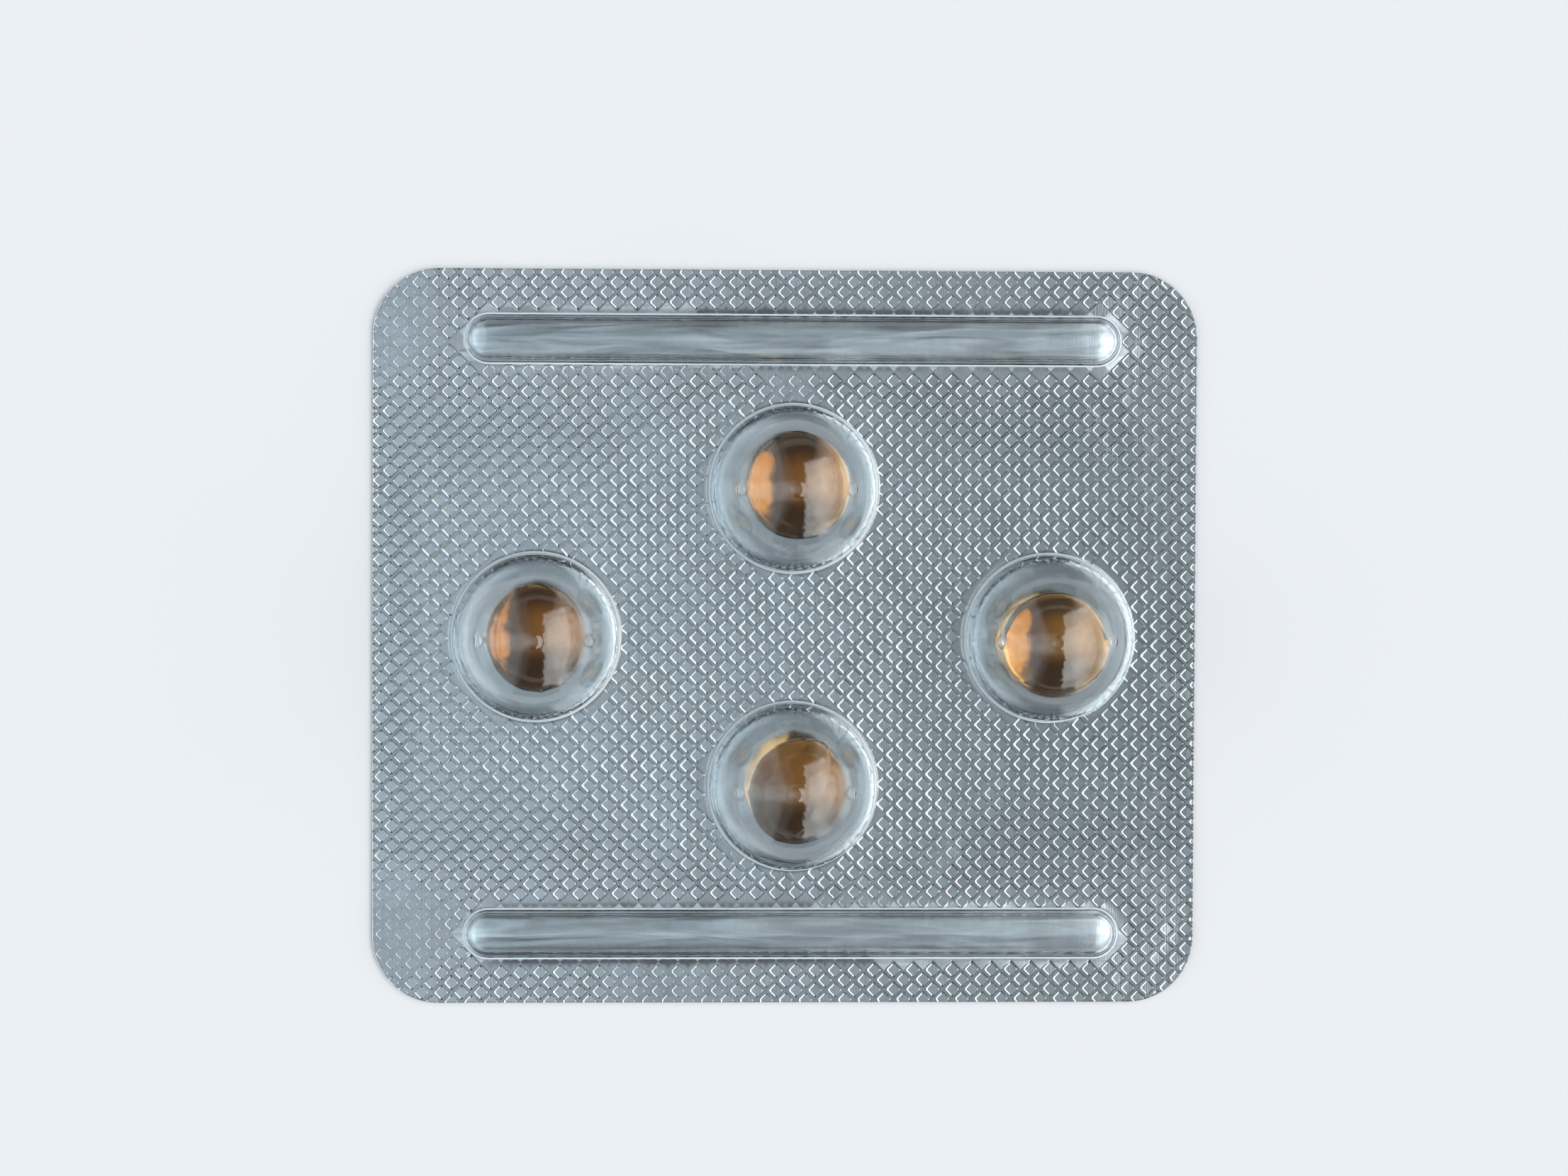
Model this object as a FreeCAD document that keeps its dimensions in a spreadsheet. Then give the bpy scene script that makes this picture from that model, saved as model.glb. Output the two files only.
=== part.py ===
"""Blister card holding four round softgels, built as a parametric document.

The card lies flat: a die-cut foil lid at the bottom, a thermoformed clear film sealed
on top of it, and in each of the four domed pockets one softgel that rests on the foil.
Units are millimetres, +Z is up, and the origin is the middle of the foil's underside.
"""
import FreeCAD, Part
import math
import os

import Sketcher
from FreeCAD import Vector

PARTS_FOLDER = "parts"

# Driving sizes: alias, value, what it is. Everything else is worked out from these.
SIZES = [
    ("card_width", 60.0, "card, left to right"),
    ("card_depth", 53.4, "card, front to back"),
    ("corner_radius", 4.8, "die-cut corners of film and foil"),
    ("array_shift", 0.5, "forming sits this far right of the die cut"),
    ("foil_gauge", 0.03, "hard-temper lidding foil"),
    ("film_gauge", 0.25, "film left flat between the pockets"),
    ("drawn_gauge", 0.20, "film thinned by forming, in pockets and ribs"),
    ("capsule_radius", 3.88, "softgel, from its middle to the seam"),
    ("capsule_pole", 3.58, "softgel, from its middle square to the seam"),
    ("shoulder_inset", 0.46, "pole size less the radius of the shoulder's arc"),
    ("shell_wall", 0.35, "gelatin wall"),
    ("seam_round", 0.30, "radius of the seam's bead"),
    ("seam_rise", 0.05, "height of the seam's bead over the shell"),
    ("pocket_side_gap", 2.42, "softgel to pocket mouth, all round"),
    ("pocket_crown_gap", 0.45, "softgel to the crown of its pocket"),
    ("pocket_flare", 0.20, "radius where a pocket leaves the flat film"),
    ("pocket_draft", 5.0, "draft of a pocket's wall, degrees"),
    ("pocket_edge_margin", 5.00, "card's short side to the nearest pocket"),
    ("vent_radius", 0.50, "bump left by a vent hole of the mould"),
    ("vent_rise", 0.07, "height of a vent bump"),
    ("vent_angle", 43.0, "side vents, degrees round the dome from its crown"),
    ("rib_mouth", 2.0, "half the width of a stiffening rib at the flat film"),
    ("rib_flare", 0.40, "radius where a rib leaves the flat film"),
    ("rib_draft", 12.0, "draft of a rib's wall, degrees"),
    ("rib_wall", 0.20, "straight of a rib's wall, between its flare and its crown"),
    ("rib_edge_margin", 3.05, "card's long side to a rib"),
    ("rib_end_margin", 5.9, "card's short side to a rib's end, before the shift"),
    ("rib_pocket_gap", 2.50, "rib to the nearest pocket"),
]

# Sizes that follow from the ones above, in the order in which they are needed.
DERIVED = [
    ("pocket_mouth", "=capsule_radius + pocket_side_gap"),
    ("pocket_reach_x", "=card_width / 2 - pocket_edge_margin - pocket_mouth"),
    ("rib_reach", "=card_depth / 2 - rib_edge_margin - rib_mouth"),
    ("pocket_reach_y", "=rib_reach - rib_mouth - rib_pocket_gap - pocket_mouth"),
    ("film_top", "=foil_gauge + film_gauge"),
    ("pocket_ceiling", "=foil_gauge + 2 * capsule_radius + pocket_crown_gap"),
    ("pocket_crown", "=pocket_ceiling + drawn_gauge"),
    ("pocket_inner_flare", "=pocket_flare + drawn_gauge"),
    ("rib_foot", "=rib_mouth - rib_flare * cos(rib_draft * 1 deg)"),
    ("rib_shoulder", "=rib_foot - rib_wall * sin(rib_draft * 1 deg)"),
    ("rib_crown", "=film_top + rib_flare * (1 - sin(rib_draft * 1 deg))"
                  " + rib_wall * cos(rib_draft * 1 deg)"
                  " + rib_shoulder * (1 - sin(rib_draft * 1 deg)) / cos(rib_draft * 1 deg)"),
    ("rib_ceiling", "=rib_crown - drawn_gauge"),
    ("rib_inner_flare", "=rib_flare + drawn_gauge"),
    ("rib_straight", "=card_width - 2 * rib_end_margin - 2 * rib_mouth"),
    ("wall_foot", "=pocket_mouth - pocket_flare * cos(pocket_draft * 1 deg)"),
    ("wall_rise", "=pocket_crown - film_top - pocket_flare * (1 - sin(pocket_draft * 1 deg))"),
    ("dome_radius", "=(wall_foot * cos(pocket_draft * 1 deg)"
                    " - wall_rise * sin(pocket_draft * 1 deg)) / (1 - sin(pocket_draft * 1 deg))"),
    ("dome_middle", "=pocket_crown - dome_radius"),
    ("vent_cap", "=dome_radius - sqrt(dome_radius^2 - vent_radius^2) + vent_rise"),
    ("vent_ball", "=(vent_radius^2 + vent_cap^2) / (2 * vent_cap)"),
    ("vent_reach", "=dome_radius + vent_rise - vent_ball"),
    ("shoulder_radius", "=capsule_pole - shoulder_inset"),
    ("shoulder_reach", "=capsule_radius - shoulder_radius"),
    ("pole_drop", "=(shoulder_reach^2 - shoulder_inset^2) / (2 * shoulder_inset)"),
    ("pole_radius", "=capsule_pole + pole_drop"),
    ("shoulder_turn", "=atan(shoulder_reach / pole_drop) / 1 deg"),
]

# Where the softgel in each pocket has come to lie: pocket direction from the array's
# middle, slide from the pocket's axis, and lean of the seam's axis with its bearing.
SEATS = {
    "top": {"place": (0, 1), "slide": (0.14, 0.25), "lean": 30.0, "bearing": 195.0},
    "left": {"place": (-1, 0), "slide": (0.10, 0.08), "lean": 52.0, "bearing": 180.0},
    "right": {"place": (1, 0), "slide": (0.16, -0.35), "lean": 30.0, "bearing": 100.0},
    "bottom": {"place": (0, -1), "slide": (0.32, -0.10), "lean": 70.0, "bearing": 153.0},
}


def make_sheet(doc):
    """Write the driving and derived sizes, and the seats, to a spreadsheet."""
    sheet = doc.addObject("Spreadsheet::Sheet", "Sizes")
    rows = [(alias, str(value), note) for alias, value, note in SIZES]
    rows += [(alias, formula, "derived") for alias, formula in DERIVED]
    for spot, seat in SEATS.items():
        rows.append((f"{spot}_slide_x", str(seat["slide"][0]), "softgel off its pocket's axis"))
        rows.append((f"{spot}_slide_y", str(seat["slide"][1]), "softgel off its pocket's axis"))
        rows.append((f"{spot}_lean", str(seat["lean"]), "seam's axis off the vertical, degrees"))
        rows.append((f"{spot}_bearing", str(seat["bearing"]), "where the seam's axis leans"))
    for number, (alias, value, note) in enumerate(rows, start=1):
        sheet.set(f"A{number}", alias)
        sheet.set(f"B{number}", value)
        sheet.set(f"C{number}", note)
        sheet.setAlias(f"B{number}", alias)
    doc.recompute()
    return sheet


def size(sheet, alias):
    """Return one size of the sheet as a plain number."""
    return float(getattr(sheet, alias))


def bind(target, path, formula):
    """Bind one property or constraint of target to a formula over the sheet's sizes."""
    target.setExpression(path, formula)


def plane_of(body, role):
    """Return one of the body's own origin planes."""
    return next(item for item in body.Origin.OriginFeatures if item.Role == role)


def new_sketch(body, name, role):
    """Add a sketch to the body, on one of its own origin planes."""
    sketch = body.newObject("Sketcher::SketchObject", name)
    sketch.AttachmentSupport = [(plane_of(body, role), "")]
    sketch.MapMode = "FlatFace"
    return sketch


def constrain(sketch, kind, *places):
    """Add a geometric constraint to a sketch."""
    sketch.addConstraint(Sketcher.Constraint(kind, *places))


def dimension(sketch, kind, places, value, formula):
    """Add a dimension to a sketch and bind it to a formula."""
    index = sketch.addConstraint(Sketcher.Constraint(kind, *places, value))
    bind(sketch, f"Constraints[{index}]", formula)


def card_outline(sheet, sketch):
    """Draw the die-cut outline, a rectangle with round corners about the origin."""
    half_x = size(sheet, "card_width") / 2
    half_y = size(sheet, "card_depth") / 2
    radius = size(sheet, "corner_radius")
    corners = [(1, 1), (-1, 1), (-1, -1), (1, -1)]
    arcs = []
    for number, (side_x, side_y) in enumerate(corners):
        middle = Vector(side_x * (half_x - radius), side_y * (half_y - radius), 0)
        circle = Part.Circle(middle, Vector(0, 0, 1), radius)
        start = number * math.pi / 2
        arcs.append(sketch.addGeometry(Part.ArcOfCircle(circle, start, start + math.pi / 2)))
    sides = []
    for number, arc in enumerate(arcs):
        follower = arcs[(number + 1) % len(arcs)]
        start = sketch.Geometry[arc].EndPoint
        end = sketch.Geometry[follower].StartPoint
        side = sketch.addGeometry(Part.LineSegment(start, end))
        constrain(sketch, "Tangent", arc, 2, side, 1)
        constrain(sketch, "Tangent", side, 2, follower, 1)
        constrain(sketch, "Horizontal" if number % 2 == 0 else "Vertical", side)
        sides.append(side)
    for arc in arcs[1:]:
        constrain(sketch, "Equal", arcs[0], arc)
    constrain(sketch, "Symmetric", arcs[0], 3, arcs[2], 3, -1, 1)
    dimension(sketch, "Radius", (arcs[0],), radius, "Sizes.corner_radius")
    dimension(sketch, "DistanceX", (sides[1], 1, sides[3], 1), 2 * half_x, "Sizes.card_width")
    dimension(sketch, "DistanceY", (sides[2], 1, sides[0], 1), 2 * half_y, "Sizes.card_depth")


class Form:
    """A formed shape's half section: flare, drafted wall and a crown that meets it.

    The same section is revolved for a pocket and for a rib's end, and pushed along for
    the straight of a rib, once for the outside of the film and once for its inside.
    """

    def __init__(self, sheet, mouth, flare, draft, floor, shelf, crown):
        self.names = {"mouth": mouth, "flare": flare, "draft": draft}
        self.names.update({"floor": floor, "shelf": shelf, "crown": crown})
        self.mouth = size(sheet, mouth)
        self.flare = size(sheet, flare)
        self.draft = math.radians(size(sheet, draft))
        self.floor = size(sheet, floor) if floor else 0.0
        self.shelf = size(sheet, shelf)
        self.crown = size(sheet, crown)

    def formula(self, name):
        """Return the sheet's name for one of the section's sizes."""
        return f"Sizes.{self.names[name]}"

    def points(self):
        """Work out the corners of the half section and the radius of its crown."""
        sine, cosine = math.sin(self.draft), math.cos(self.draft)
        foot = (self.mouth - self.flare * cosine, self.shelf + self.flare * (1 - sine))
        rise = self.crown - foot[1]
        radius = (foot[0] * cosine - rise * sine) / (1 - sine)
        shoulder = (radius * cosine, self.crown - radius * (1 - sine))
        return foot, shoulder, radius

    def draw(self, sketch, mirrored):
        """Draw the section: half of it against the vertical axis, or all of it."""
        foot, shoulder, radius = self.points()
        sides = (1, -1) if mirrored else (1,)
        walls = [self.draw_side(sketch, side, foot, shoulder) for side in sides]
        middle = Vector(0, self.crown - radius, 0)
        start, end = self.draft, math.pi - self.draft if mirrored else math.pi / 2
        circle = Part.Circle(middle, Vector(0, 0, 1), radius)
        dome = sketch.addGeometry(Part.ArcOfCircle(circle, start, end))
        constrain(sketch, "PointOnObject", dome, 3, -2)
        constrain(sketch, "Tangent", walls[0]["wall"], 2, dome, 1)
        if mirrored:
            constrain(sketch, "Tangent", walls[1]["wall"], 2, dome, 2)
            constrain(sketch, "Equal", walls[0]["flare"], walls[1]["flare"])
            constrain(sketch, "Symmetric", walls[0]["rise"], 2, walls[1]["rise"], 2, -2)
            self.close_mirrored(sketch, walls)
            place = Vector(0, self.crown, 0)
            peak = sketch.addGeometry(Part.Point(place))
            sketch.toggleConstruction(peak)
            constrain(sketch, "PointOnObject", peak, 1, -2)
            constrain(sketch, "PointOnObject", peak, 1, dome)
            dimension(sketch, "DistanceY", (-1, 1, peak, 1), self.crown, self.formula("crown"))
        else:
            self.close_half(sketch, walls[0], dome)
            dimension(sketch, "DistanceY", (-1, 1, dome, 2), self.crown, self.formula("crown"))

    def draw_side(self, sketch, side, foot, shoulder):
        """Draw one side: the step up from the floor, the flare and the drafted wall."""
        low = Vector(side * self.mouth, self.floor, 0)
        high = Vector(side * self.mouth, self.shelf, 0)
        rise = sketch.addGeometry(Part.LineSegment(low, high))
        constrain(sketch, "Vertical", rise)
        middle = Vector(side * self.mouth, self.shelf + self.flare, 0)
        circle = Part.Circle(middle, Vector(0, 0, 1), self.flare)
        down = -math.pi / 2
        if side > 0:
            span = (math.pi + self.draft, 2 * math.pi + down)
        else:
            span = (down, -self.draft)
        flare = sketch.addGeometry(Part.ArcOfCircle(circle, *span))
        near, far = (2, 1) if side > 0 else (1, 2)
        start = Vector(side * foot[0], foot[1], 0)
        end = Vector(side * shoulder[0], shoulder[1], 0)
        wall = sketch.addGeometry(Part.LineSegment(start, end))
        constrain(sketch, "Coincident", rise, 2, flare, near)
        constrain(sketch, "Vertical", flare, near, flare, 3)
        constrain(sketch, "Tangent", flare, far, wall, 1)
        if side > 0:
            angle = math.pi / 2 + self.draft
            dimension(sketch, "Angle", (-1, 1, wall, 1), angle,
                      f"90 deg + {self.formula('draft')} * 1 deg")
            dimension(sketch, "Radius", (flare,), self.flare, self.formula("flare"))
            dimension(sketch, "DistanceX", (-1, 1, rise, 1), self.mouth, self.formula("mouth"))
            dimension(sketch, "DistanceY", (-1, 1, rise, 2), self.shelf, self.formula("shelf"))
            if self.names["floor"]:
                dimension(sketch, "DistanceY", (-1, 1, rise, 1), self.floor, self.formula("floor"))
            else:
                constrain(sketch, "PointOnObject", rise, 1, -1)
        return {"rise": rise, "flare": flare, "wall": wall}

    def close_half(self, sketch, side, dome):
        """Close a half section along the floor and the vertical axis."""
        base = Vector(0, self.floor, 0)
        floor = sketch.addGeometry(Part.LineSegment(base, Vector(self.mouth, self.floor, 0)))
        axis = sketch.addGeometry(Part.LineSegment(Vector(0, self.crown, 0), base))
        constrain(sketch, "Coincident", floor, 2, side["rise"], 1)
        constrain(sketch, "Coincident", floor, 1, axis, 2)
        constrain(sketch, "Coincident", axis, 1, dome, 2)
        constrain(sketch, "Horizontal", floor)
        constrain(sketch, "PointOnObject", axis, 1, -2)
        constrain(sketch, "PointOnObject", axis, 2, -2)

    def close_mirrored(self, sketch, walls):
        """Close a whole section along its floor."""
        left = Vector(-self.mouth, self.floor, 0)
        right = Vector(self.mouth, self.floor, 0)
        floor = sketch.addGeometry(Part.LineSegment(left, right))
        constrain(sketch, "Coincident", floor, 1, walls[1]["rise"], 1)
        constrain(sketch, "Coincident", floor, 2, walls[0]["rise"], 1)
        constrain(sketch, "Horizontal", floor)


def revolve_form(body, name, form, place_x, place_y, cut):
    """Revolve a half section about a vertical axis that stands at the given place."""
    sketch = new_sketch(body, f"{name}_section", "XZ_Plane")
    form.draw(sketch, mirrored=False)
    bind(sketch, "AttachmentOffset.Base.x", place_x)
    bind(sketch, "AttachmentOffset.Base.z", f"-({place_y})")
    kind = "PartDesign::Groove" if cut else "PartDesign::Revolution"
    feature = body.newObject(kind, name)
    feature.Profile = (sketch, [""])
    feature.ReferenceAxis = (sketch, ["V_Axis"])
    feature.Angle = 360.0
    return feature


def push_form(body, name, form, place_y, cut):
    """Push a whole section along X, half to each side of the forming's middle."""
    sketch = new_sketch(body, f"{name}_section", "YZ_Plane")
    form.draw(sketch, mirrored=True)
    bind(sketch, "AttachmentOffset.Base.x", place_y)
    bind(sketch, "AttachmentOffset.Base.z", "Sizes.array_shift")
    feature = body.newObject("PartDesign::Pocket" if cut else "PartDesign::Pad", name)
    feature.Profile = (sketch, [""])
    feature.Midplane = True
    bind(feature, "Length", "Sizes.rib_straight")
    return feature


def pocket_axis(spot):
    """Return the formulas for where a pocket's axis stands."""
    along_x, along_y = SEATS[spot]["place"]
    place_x = f"Sizes.array_shift + ({along_x}) * Sizes.pocket_reach_x"
    place_y = f"({along_y}) * Sizes.pocket_reach_y"
    return place_x, place_y


def add_pockets(body, form, cut):
    """Form, or hollow out, the four domed pockets."""
    step = "hollow" if cut else "dome"
    for spot in SEATS:
        place_x, place_y = pocket_axis(spot)
        revolve_form(body, f"{spot}_{step}", form, place_x, place_y, cut)


def add_ribs(body, form, cut):
    """Form, or hollow out, the two stiffening ribs: a straight and two round ends each."""
    step = "channel" if cut else "rib"
    for edge, side in (("back", 1), ("front", -1)):
        place_y = f"({side}) * Sizes.rib_reach"
        push_form(body, f"{edge}_{step}", form, place_y, cut)
        for end, way in (("left", -1), ("right", 1)):
            place_x = f"Sizes.array_shift + ({way}) * Sizes.rib_straight / 2"
            revolve_form(body, f"{edge}_{step}_{end}_end", form, place_x, place_y, cut)


def add_vent_bumps(body):
    """Raise the small bumps that the mould's vent holes leave on each dome.

    A bump is the cap of a small ball, sized so that the cap meets the dome at the
    vent's radius and stands the vent's rise above it.
    """
    for spot in SEATS:
        place_x, place_y = pocket_axis(spot)
        for label, way in (("crown", 0), ("left", -1), ("right", 1)):
            bump = body.newObject("PartDesign::AdditiveSphere", f"{spot}_{label}_vent")
            bump.AttachmentSupport = [(plane_of(body, "XY_Plane"), "")]
            bump.MapMode = "FlatFace"
            lean = f"{way} * Sizes.vent_angle * 1 deg"
            bind(bump, "Radius", "Sizes.vent_ball")
            bind(bump, "AttachmentOffset.Base.x", f"{place_x} + Sizes.vent_reach * sin({lean})")
            bind(bump, "AttachmentOffset.Base.y", place_y)
            bind(bump, "AttachmentOffset.Base.z",
                 f"Sizes.dome_middle + Sizes.vent_reach * cos({lean})")


def make_forming_film(doc, sheet):
    """Thermoformed clear film: flat flange, four domed pockets and two ribs, one shell."""
    body = doc.addObject("PartDesign::Body", "forming_film")
    body.Label = "forming_film"
    outline = new_sketch(body, "film_outline", "XY_Plane")
    card_outline(sheet, outline)
    bind(outline, "AttachmentOffset.Base.z", "Sizes.foil_gauge")
    flange = body.newObject("PartDesign::Pad", "flange")
    flange.Profile = (outline, [""])
    bind(flange, "Length", "Sizes.film_gauge")

    pocket = ("pocket_mouth", "pocket_flare", "pocket_draft")
    pocket_inside = ("pocket_mouth", "pocket_inner_flare", "pocket_draft")
    rib = ("rib_mouth", "rib_flare", "rib_draft")
    rib_inside = ("rib_mouth", "rib_inner_flare", "rib_draft")
    dome = Form(sheet, *pocket, "foil_gauge", "film_top", "pocket_crown")
    hollow = Form(sheet, *pocket_inside, None, "foil_gauge", "pocket_ceiling")
    ridge = Form(sheet, *rib, "foil_gauge", "film_top", "rib_crown")
    channel = Form(sheet, *rib_inside, None, "foil_gauge", "rib_ceiling")

    add_pockets(body, dome, cut=False)
    add_vent_bumps(body)
    add_ribs(body, ridge, cut=False)
    doc.recompute()
    add_pockets(body, hollow, cut=True)
    add_ribs(body, channel, cut=True)
    return body


def make_lidding_foil(doc, sheet):
    """Aluminium lid: one flat die-cut sheet, sealed under the film."""
    body = doc.addObject("PartDesign::Body", "lidding_foil")
    body.Label = "lidding_foil"
    outline = new_sketch(body, "foil_outline", "XY_Plane")
    card_outline(sheet, outline)
    sheet_pad = body.newObject("PartDesign::Pad", "foil_sheet")
    sheet_pad.Profile = (outline, [""])
    bind(sheet_pad, "Length", "Sizes.foil_gauge")
    return body


def capsule_section(sheet, sketch, inside):
    """Draw half of a softgel's section: an oval of arcs, closed by the seam's axis.

    Each pole is one wide arc about the axis, and the shoulders that meet at the seam
    are one tighter arc. The inside runs parallel to it, a shell wall further in.
    """
    inset = size(sheet, "shell_wall") if inside else 0.0
    less = " - Sizes.shell_wall" if inside else ""
    pole = size(sheet, "capsule_pole") - inset
    shoulder = size(sheet, "shoulder_radius") - inset
    wide = size(sheet, "pole_radius") - inset
    drop = size(sheet, "pole_drop")
    turn = math.pi / 2 - math.radians(size(sheet, "shoulder_turn"))
    up = Vector(0, 0, 1)
    tight = Part.Circle(Vector(size(sheet, "shoulder_reach"), 0, 0), up, shoulder)
    upper = Part.Circle(Vector(0, -drop, 0), up, wide)
    lower = Part.Circle(Vector(0, drop, 0), up, wide)
    quarter = math.pi / 2
    middle = sketch.addGeometry(Part.ArcOfCircle(tight, -turn, turn))
    top = sketch.addGeometry(Part.ArcOfCircle(upper, turn, quarter))
    low = sketch.addGeometry(Part.ArcOfCircle(lower, -quarter, -turn))
    axis = sketch.addGeometry(Part.LineSegment(Vector(0, pole, 0), Vector(0, -pole, 0)))
    constrain(sketch, "Tangent", middle, 2, top, 1)
    constrain(sketch, "Tangent", low, 2, middle, 1)
    constrain(sketch, "Coincident", top, 2, axis, 1)
    constrain(sketch, "Coincident", axis, 2, low, 1)
    constrain(sketch, "PointOnObject", middle, 3, -1)
    for arc in (top, low):
        constrain(sketch, "PointOnObject", arc, 3, -2)
    for end in (1, 2):
        constrain(sketch, "PointOnObject", axis, end, -2)
    constrain(sketch, "Equal", top, low)
    dimension(sketch, "DistanceX", (-1, 1, middle, 3), size(sheet, "shoulder_reach"),
              "Sizes.shoulder_reach")
    dimension(sketch, "Radius", (middle,), shoulder, f"Sizes.shoulder_radius{less}")
    dimension(sketch, "DistanceY", (-1, 1, axis, 1), pole, f"Sizes.capsule_pole{less}")


def revolve_capsule(sheet, body, name, inside, cut):
    """Revolve a softgel's section about the axis that stands square to its seam."""
    sketch = new_sketch(body, f"{name}_section", "XZ_Plane")
    capsule_section(sheet, sketch, inside)
    kind = "PartDesign::Groove" if cut else "PartDesign::Revolution"
    feature = body.newObject(kind, name)
    feature.Profile = (sketch, [""])
    feature.ReferenceAxis = (sketch, ["V_Axis"])
    feature.Angle = 360.0
    return feature


def seat_capsule(body, spot):
    """Lean a softgel as it lies and set it down on the foil, in its own pocket.

    It touches the foil on its pole's arc up to the turn where the shoulder starts,
    and on the shoulder's arc beyond that.
    """
    place_x, place_y = pocket_axis(spot)
    lean = f"Sizes.{spot}_lean * 1 deg"
    bearing = f"Sizes.{spot}_bearing * 1 deg"
    on_pole = f"Sizes.pole_radius - Sizes.pole_drop * cos({lean})"
    on_shoulder = f"Sizes.shoulder_radius + Sizes.shoulder_reach * sin({lean})"
    reach = f"(Sizes.{spot}_lean < Sizes.shoulder_turn ? {on_pole} : {on_shoulder})"
    base = (f"vector({place_x} + Sizes.{spot}_slide_x; {place_y} + Sizes.{spot}_slide_y;"
            f" Sizes.foil_gauge + {reach})")
    hinge = f"vector(-sin({bearing}); cos({bearing}); 0)"
    bind(body, "Placement", f"placement({base}; rotation({hinge}; {lean}))")


def make_capsule_shell(doc, sheet, spot):
    """Gelatin shell of one softgel: a hollow oval with a bead along its seam."""
    name = f"capsule_{spot}_shell"
    body = doc.addObject("PartDesign::Body", name)
    body.Label = name
    revolve_capsule(sheet, body, f"{spot}_shell_outside", inside=False, cut=False)
    seam = body.newObject("PartDesign::AdditiveTorus", f"{spot}_seam")
    bind(seam, "Radius1", "Sizes.capsule_radius + Sizes.seam_rise - Sizes.seam_round")
    bind(seam, "Radius2", "Sizes.seam_round")
    doc.recompute()
    revolve_capsule(sheet, body, f"{spot}_shell_inside", inside=True, cut=True)
    seat_capsule(body, spot)
    return body


def make_capsule_fill(doc, sheet, spot):
    """Oil that fills one softgel's shell, face to face with it."""
    name = f"capsule_{spot}_fill"
    body = doc.addObject("PartDesign::Body", name)
    body.Label = name
    revolve_capsule(sheet, body, f"{spot}_fill_form", inside=True, cut=False)
    seat_capsule(body, spot)
    return body


def check_document(doc, bodies):
    """Stop if anything in the document failed, or a sub-part isn't one sound solid."""
    for item in doc.Objects:
        if "Invalid" in item.State or "Error" in item.State:
            raise RuntimeError(f"{item.Name} failed: {item.State}")
    for body in bodies:
        shape = body.Shape
        if shape.isNull() or not shape.isValid():
            raise RuntimeError(f"{body.Label} has no sound shape")
        if len(shape.Solids) != 1:
            raise RuntimeError(f"{body.Label} has {len(shape.Solids)} solids")


def export(bodies):
    """Write each sub-part's shape to a file named after its label."""
    os.makedirs(PARTS_FOLDER, exist_ok=True)
    for body in bodies:
        body.Shape.exportStep(os.path.join(PARTS_FOLDER, f"{body.Label}.step"))


def main():
    """Build the blister card and write its sub-parts."""
    doc = FreeCAD.newDocument("blister_card")
    sheet = make_sheet(doc)
    bodies = [make_forming_film(doc, sheet), make_lidding_foil(doc, sheet)]
    for spot in SEATS:
        bodies.append(make_capsule_shell(doc, sheet, spot))
        bodies.append(make_capsule_fill(doc, sheet, spot))
    doc.recompute()
    check_document(doc, bodies)
    for body in bodies:
        box = body.Shape.BoundBox
        print(f"{body.Label}: {body.Shape.Volume:.3f} mm3, z {box.ZMin:.3f} to {box.ZMax:.3f}")
    export(bodies)


main()
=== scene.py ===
"""Looks of a blister card: clear formed film on a knurled foil lid, over round softgels.

Sizes are in millimetres, unless a name or comment says otherwise. Meshes are in metres.
"""
import logging
import math
import random
from dataclasses import dataclass, field, replace
from enum import Enum

import bmesh
import bpy
from mathutils import Matrix, Vector, noise


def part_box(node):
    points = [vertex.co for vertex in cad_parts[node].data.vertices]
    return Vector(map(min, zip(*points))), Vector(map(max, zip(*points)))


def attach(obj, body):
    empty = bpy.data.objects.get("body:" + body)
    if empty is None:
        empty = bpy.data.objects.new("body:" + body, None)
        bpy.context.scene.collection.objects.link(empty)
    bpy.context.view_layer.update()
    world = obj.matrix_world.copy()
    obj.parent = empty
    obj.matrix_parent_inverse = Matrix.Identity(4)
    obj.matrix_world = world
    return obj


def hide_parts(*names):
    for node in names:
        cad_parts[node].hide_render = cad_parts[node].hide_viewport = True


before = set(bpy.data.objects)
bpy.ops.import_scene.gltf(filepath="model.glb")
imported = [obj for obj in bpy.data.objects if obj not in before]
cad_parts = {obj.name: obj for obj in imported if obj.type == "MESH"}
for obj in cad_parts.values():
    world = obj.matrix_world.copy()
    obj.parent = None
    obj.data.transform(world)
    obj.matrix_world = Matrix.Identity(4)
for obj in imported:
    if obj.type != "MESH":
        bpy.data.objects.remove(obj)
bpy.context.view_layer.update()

MM = 0.001
# The signs of a card's four corners, anticlockwise.
CORNERS = ((1, 1), (-1, 1), (-1, -1), (1, -1))
log = logging.getLogger("blister_card")


# ---------------------------------------------------------------- colours and node helpers


def linear(hex_colour: str) -> tuple[float, float, float, float]:
    """Turn an sRGB hex colour into linear values.

    Args:
        hex_colour: six hex digits, with or without a leading hash.

    Returns:
        Red, green, blue and alpha, linear.
    """
    digits = hex_colour.lstrip("#")
    values = [int(digits[place:place + 2], 16) / 255 for place in (0, 2, 4)]
    red, green, blue = (v / 12.92 if v <= 0.04045 else ((v + 0.055) / 1.055) ** 2.4 for v in values)
    return red, green, blue, 1.0


def repeats(size: float) -> float:
    """Turn the size of a pattern's repeat into a texture's scale, in repeats a metre."""
    return 1 / (size * MM)


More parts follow.
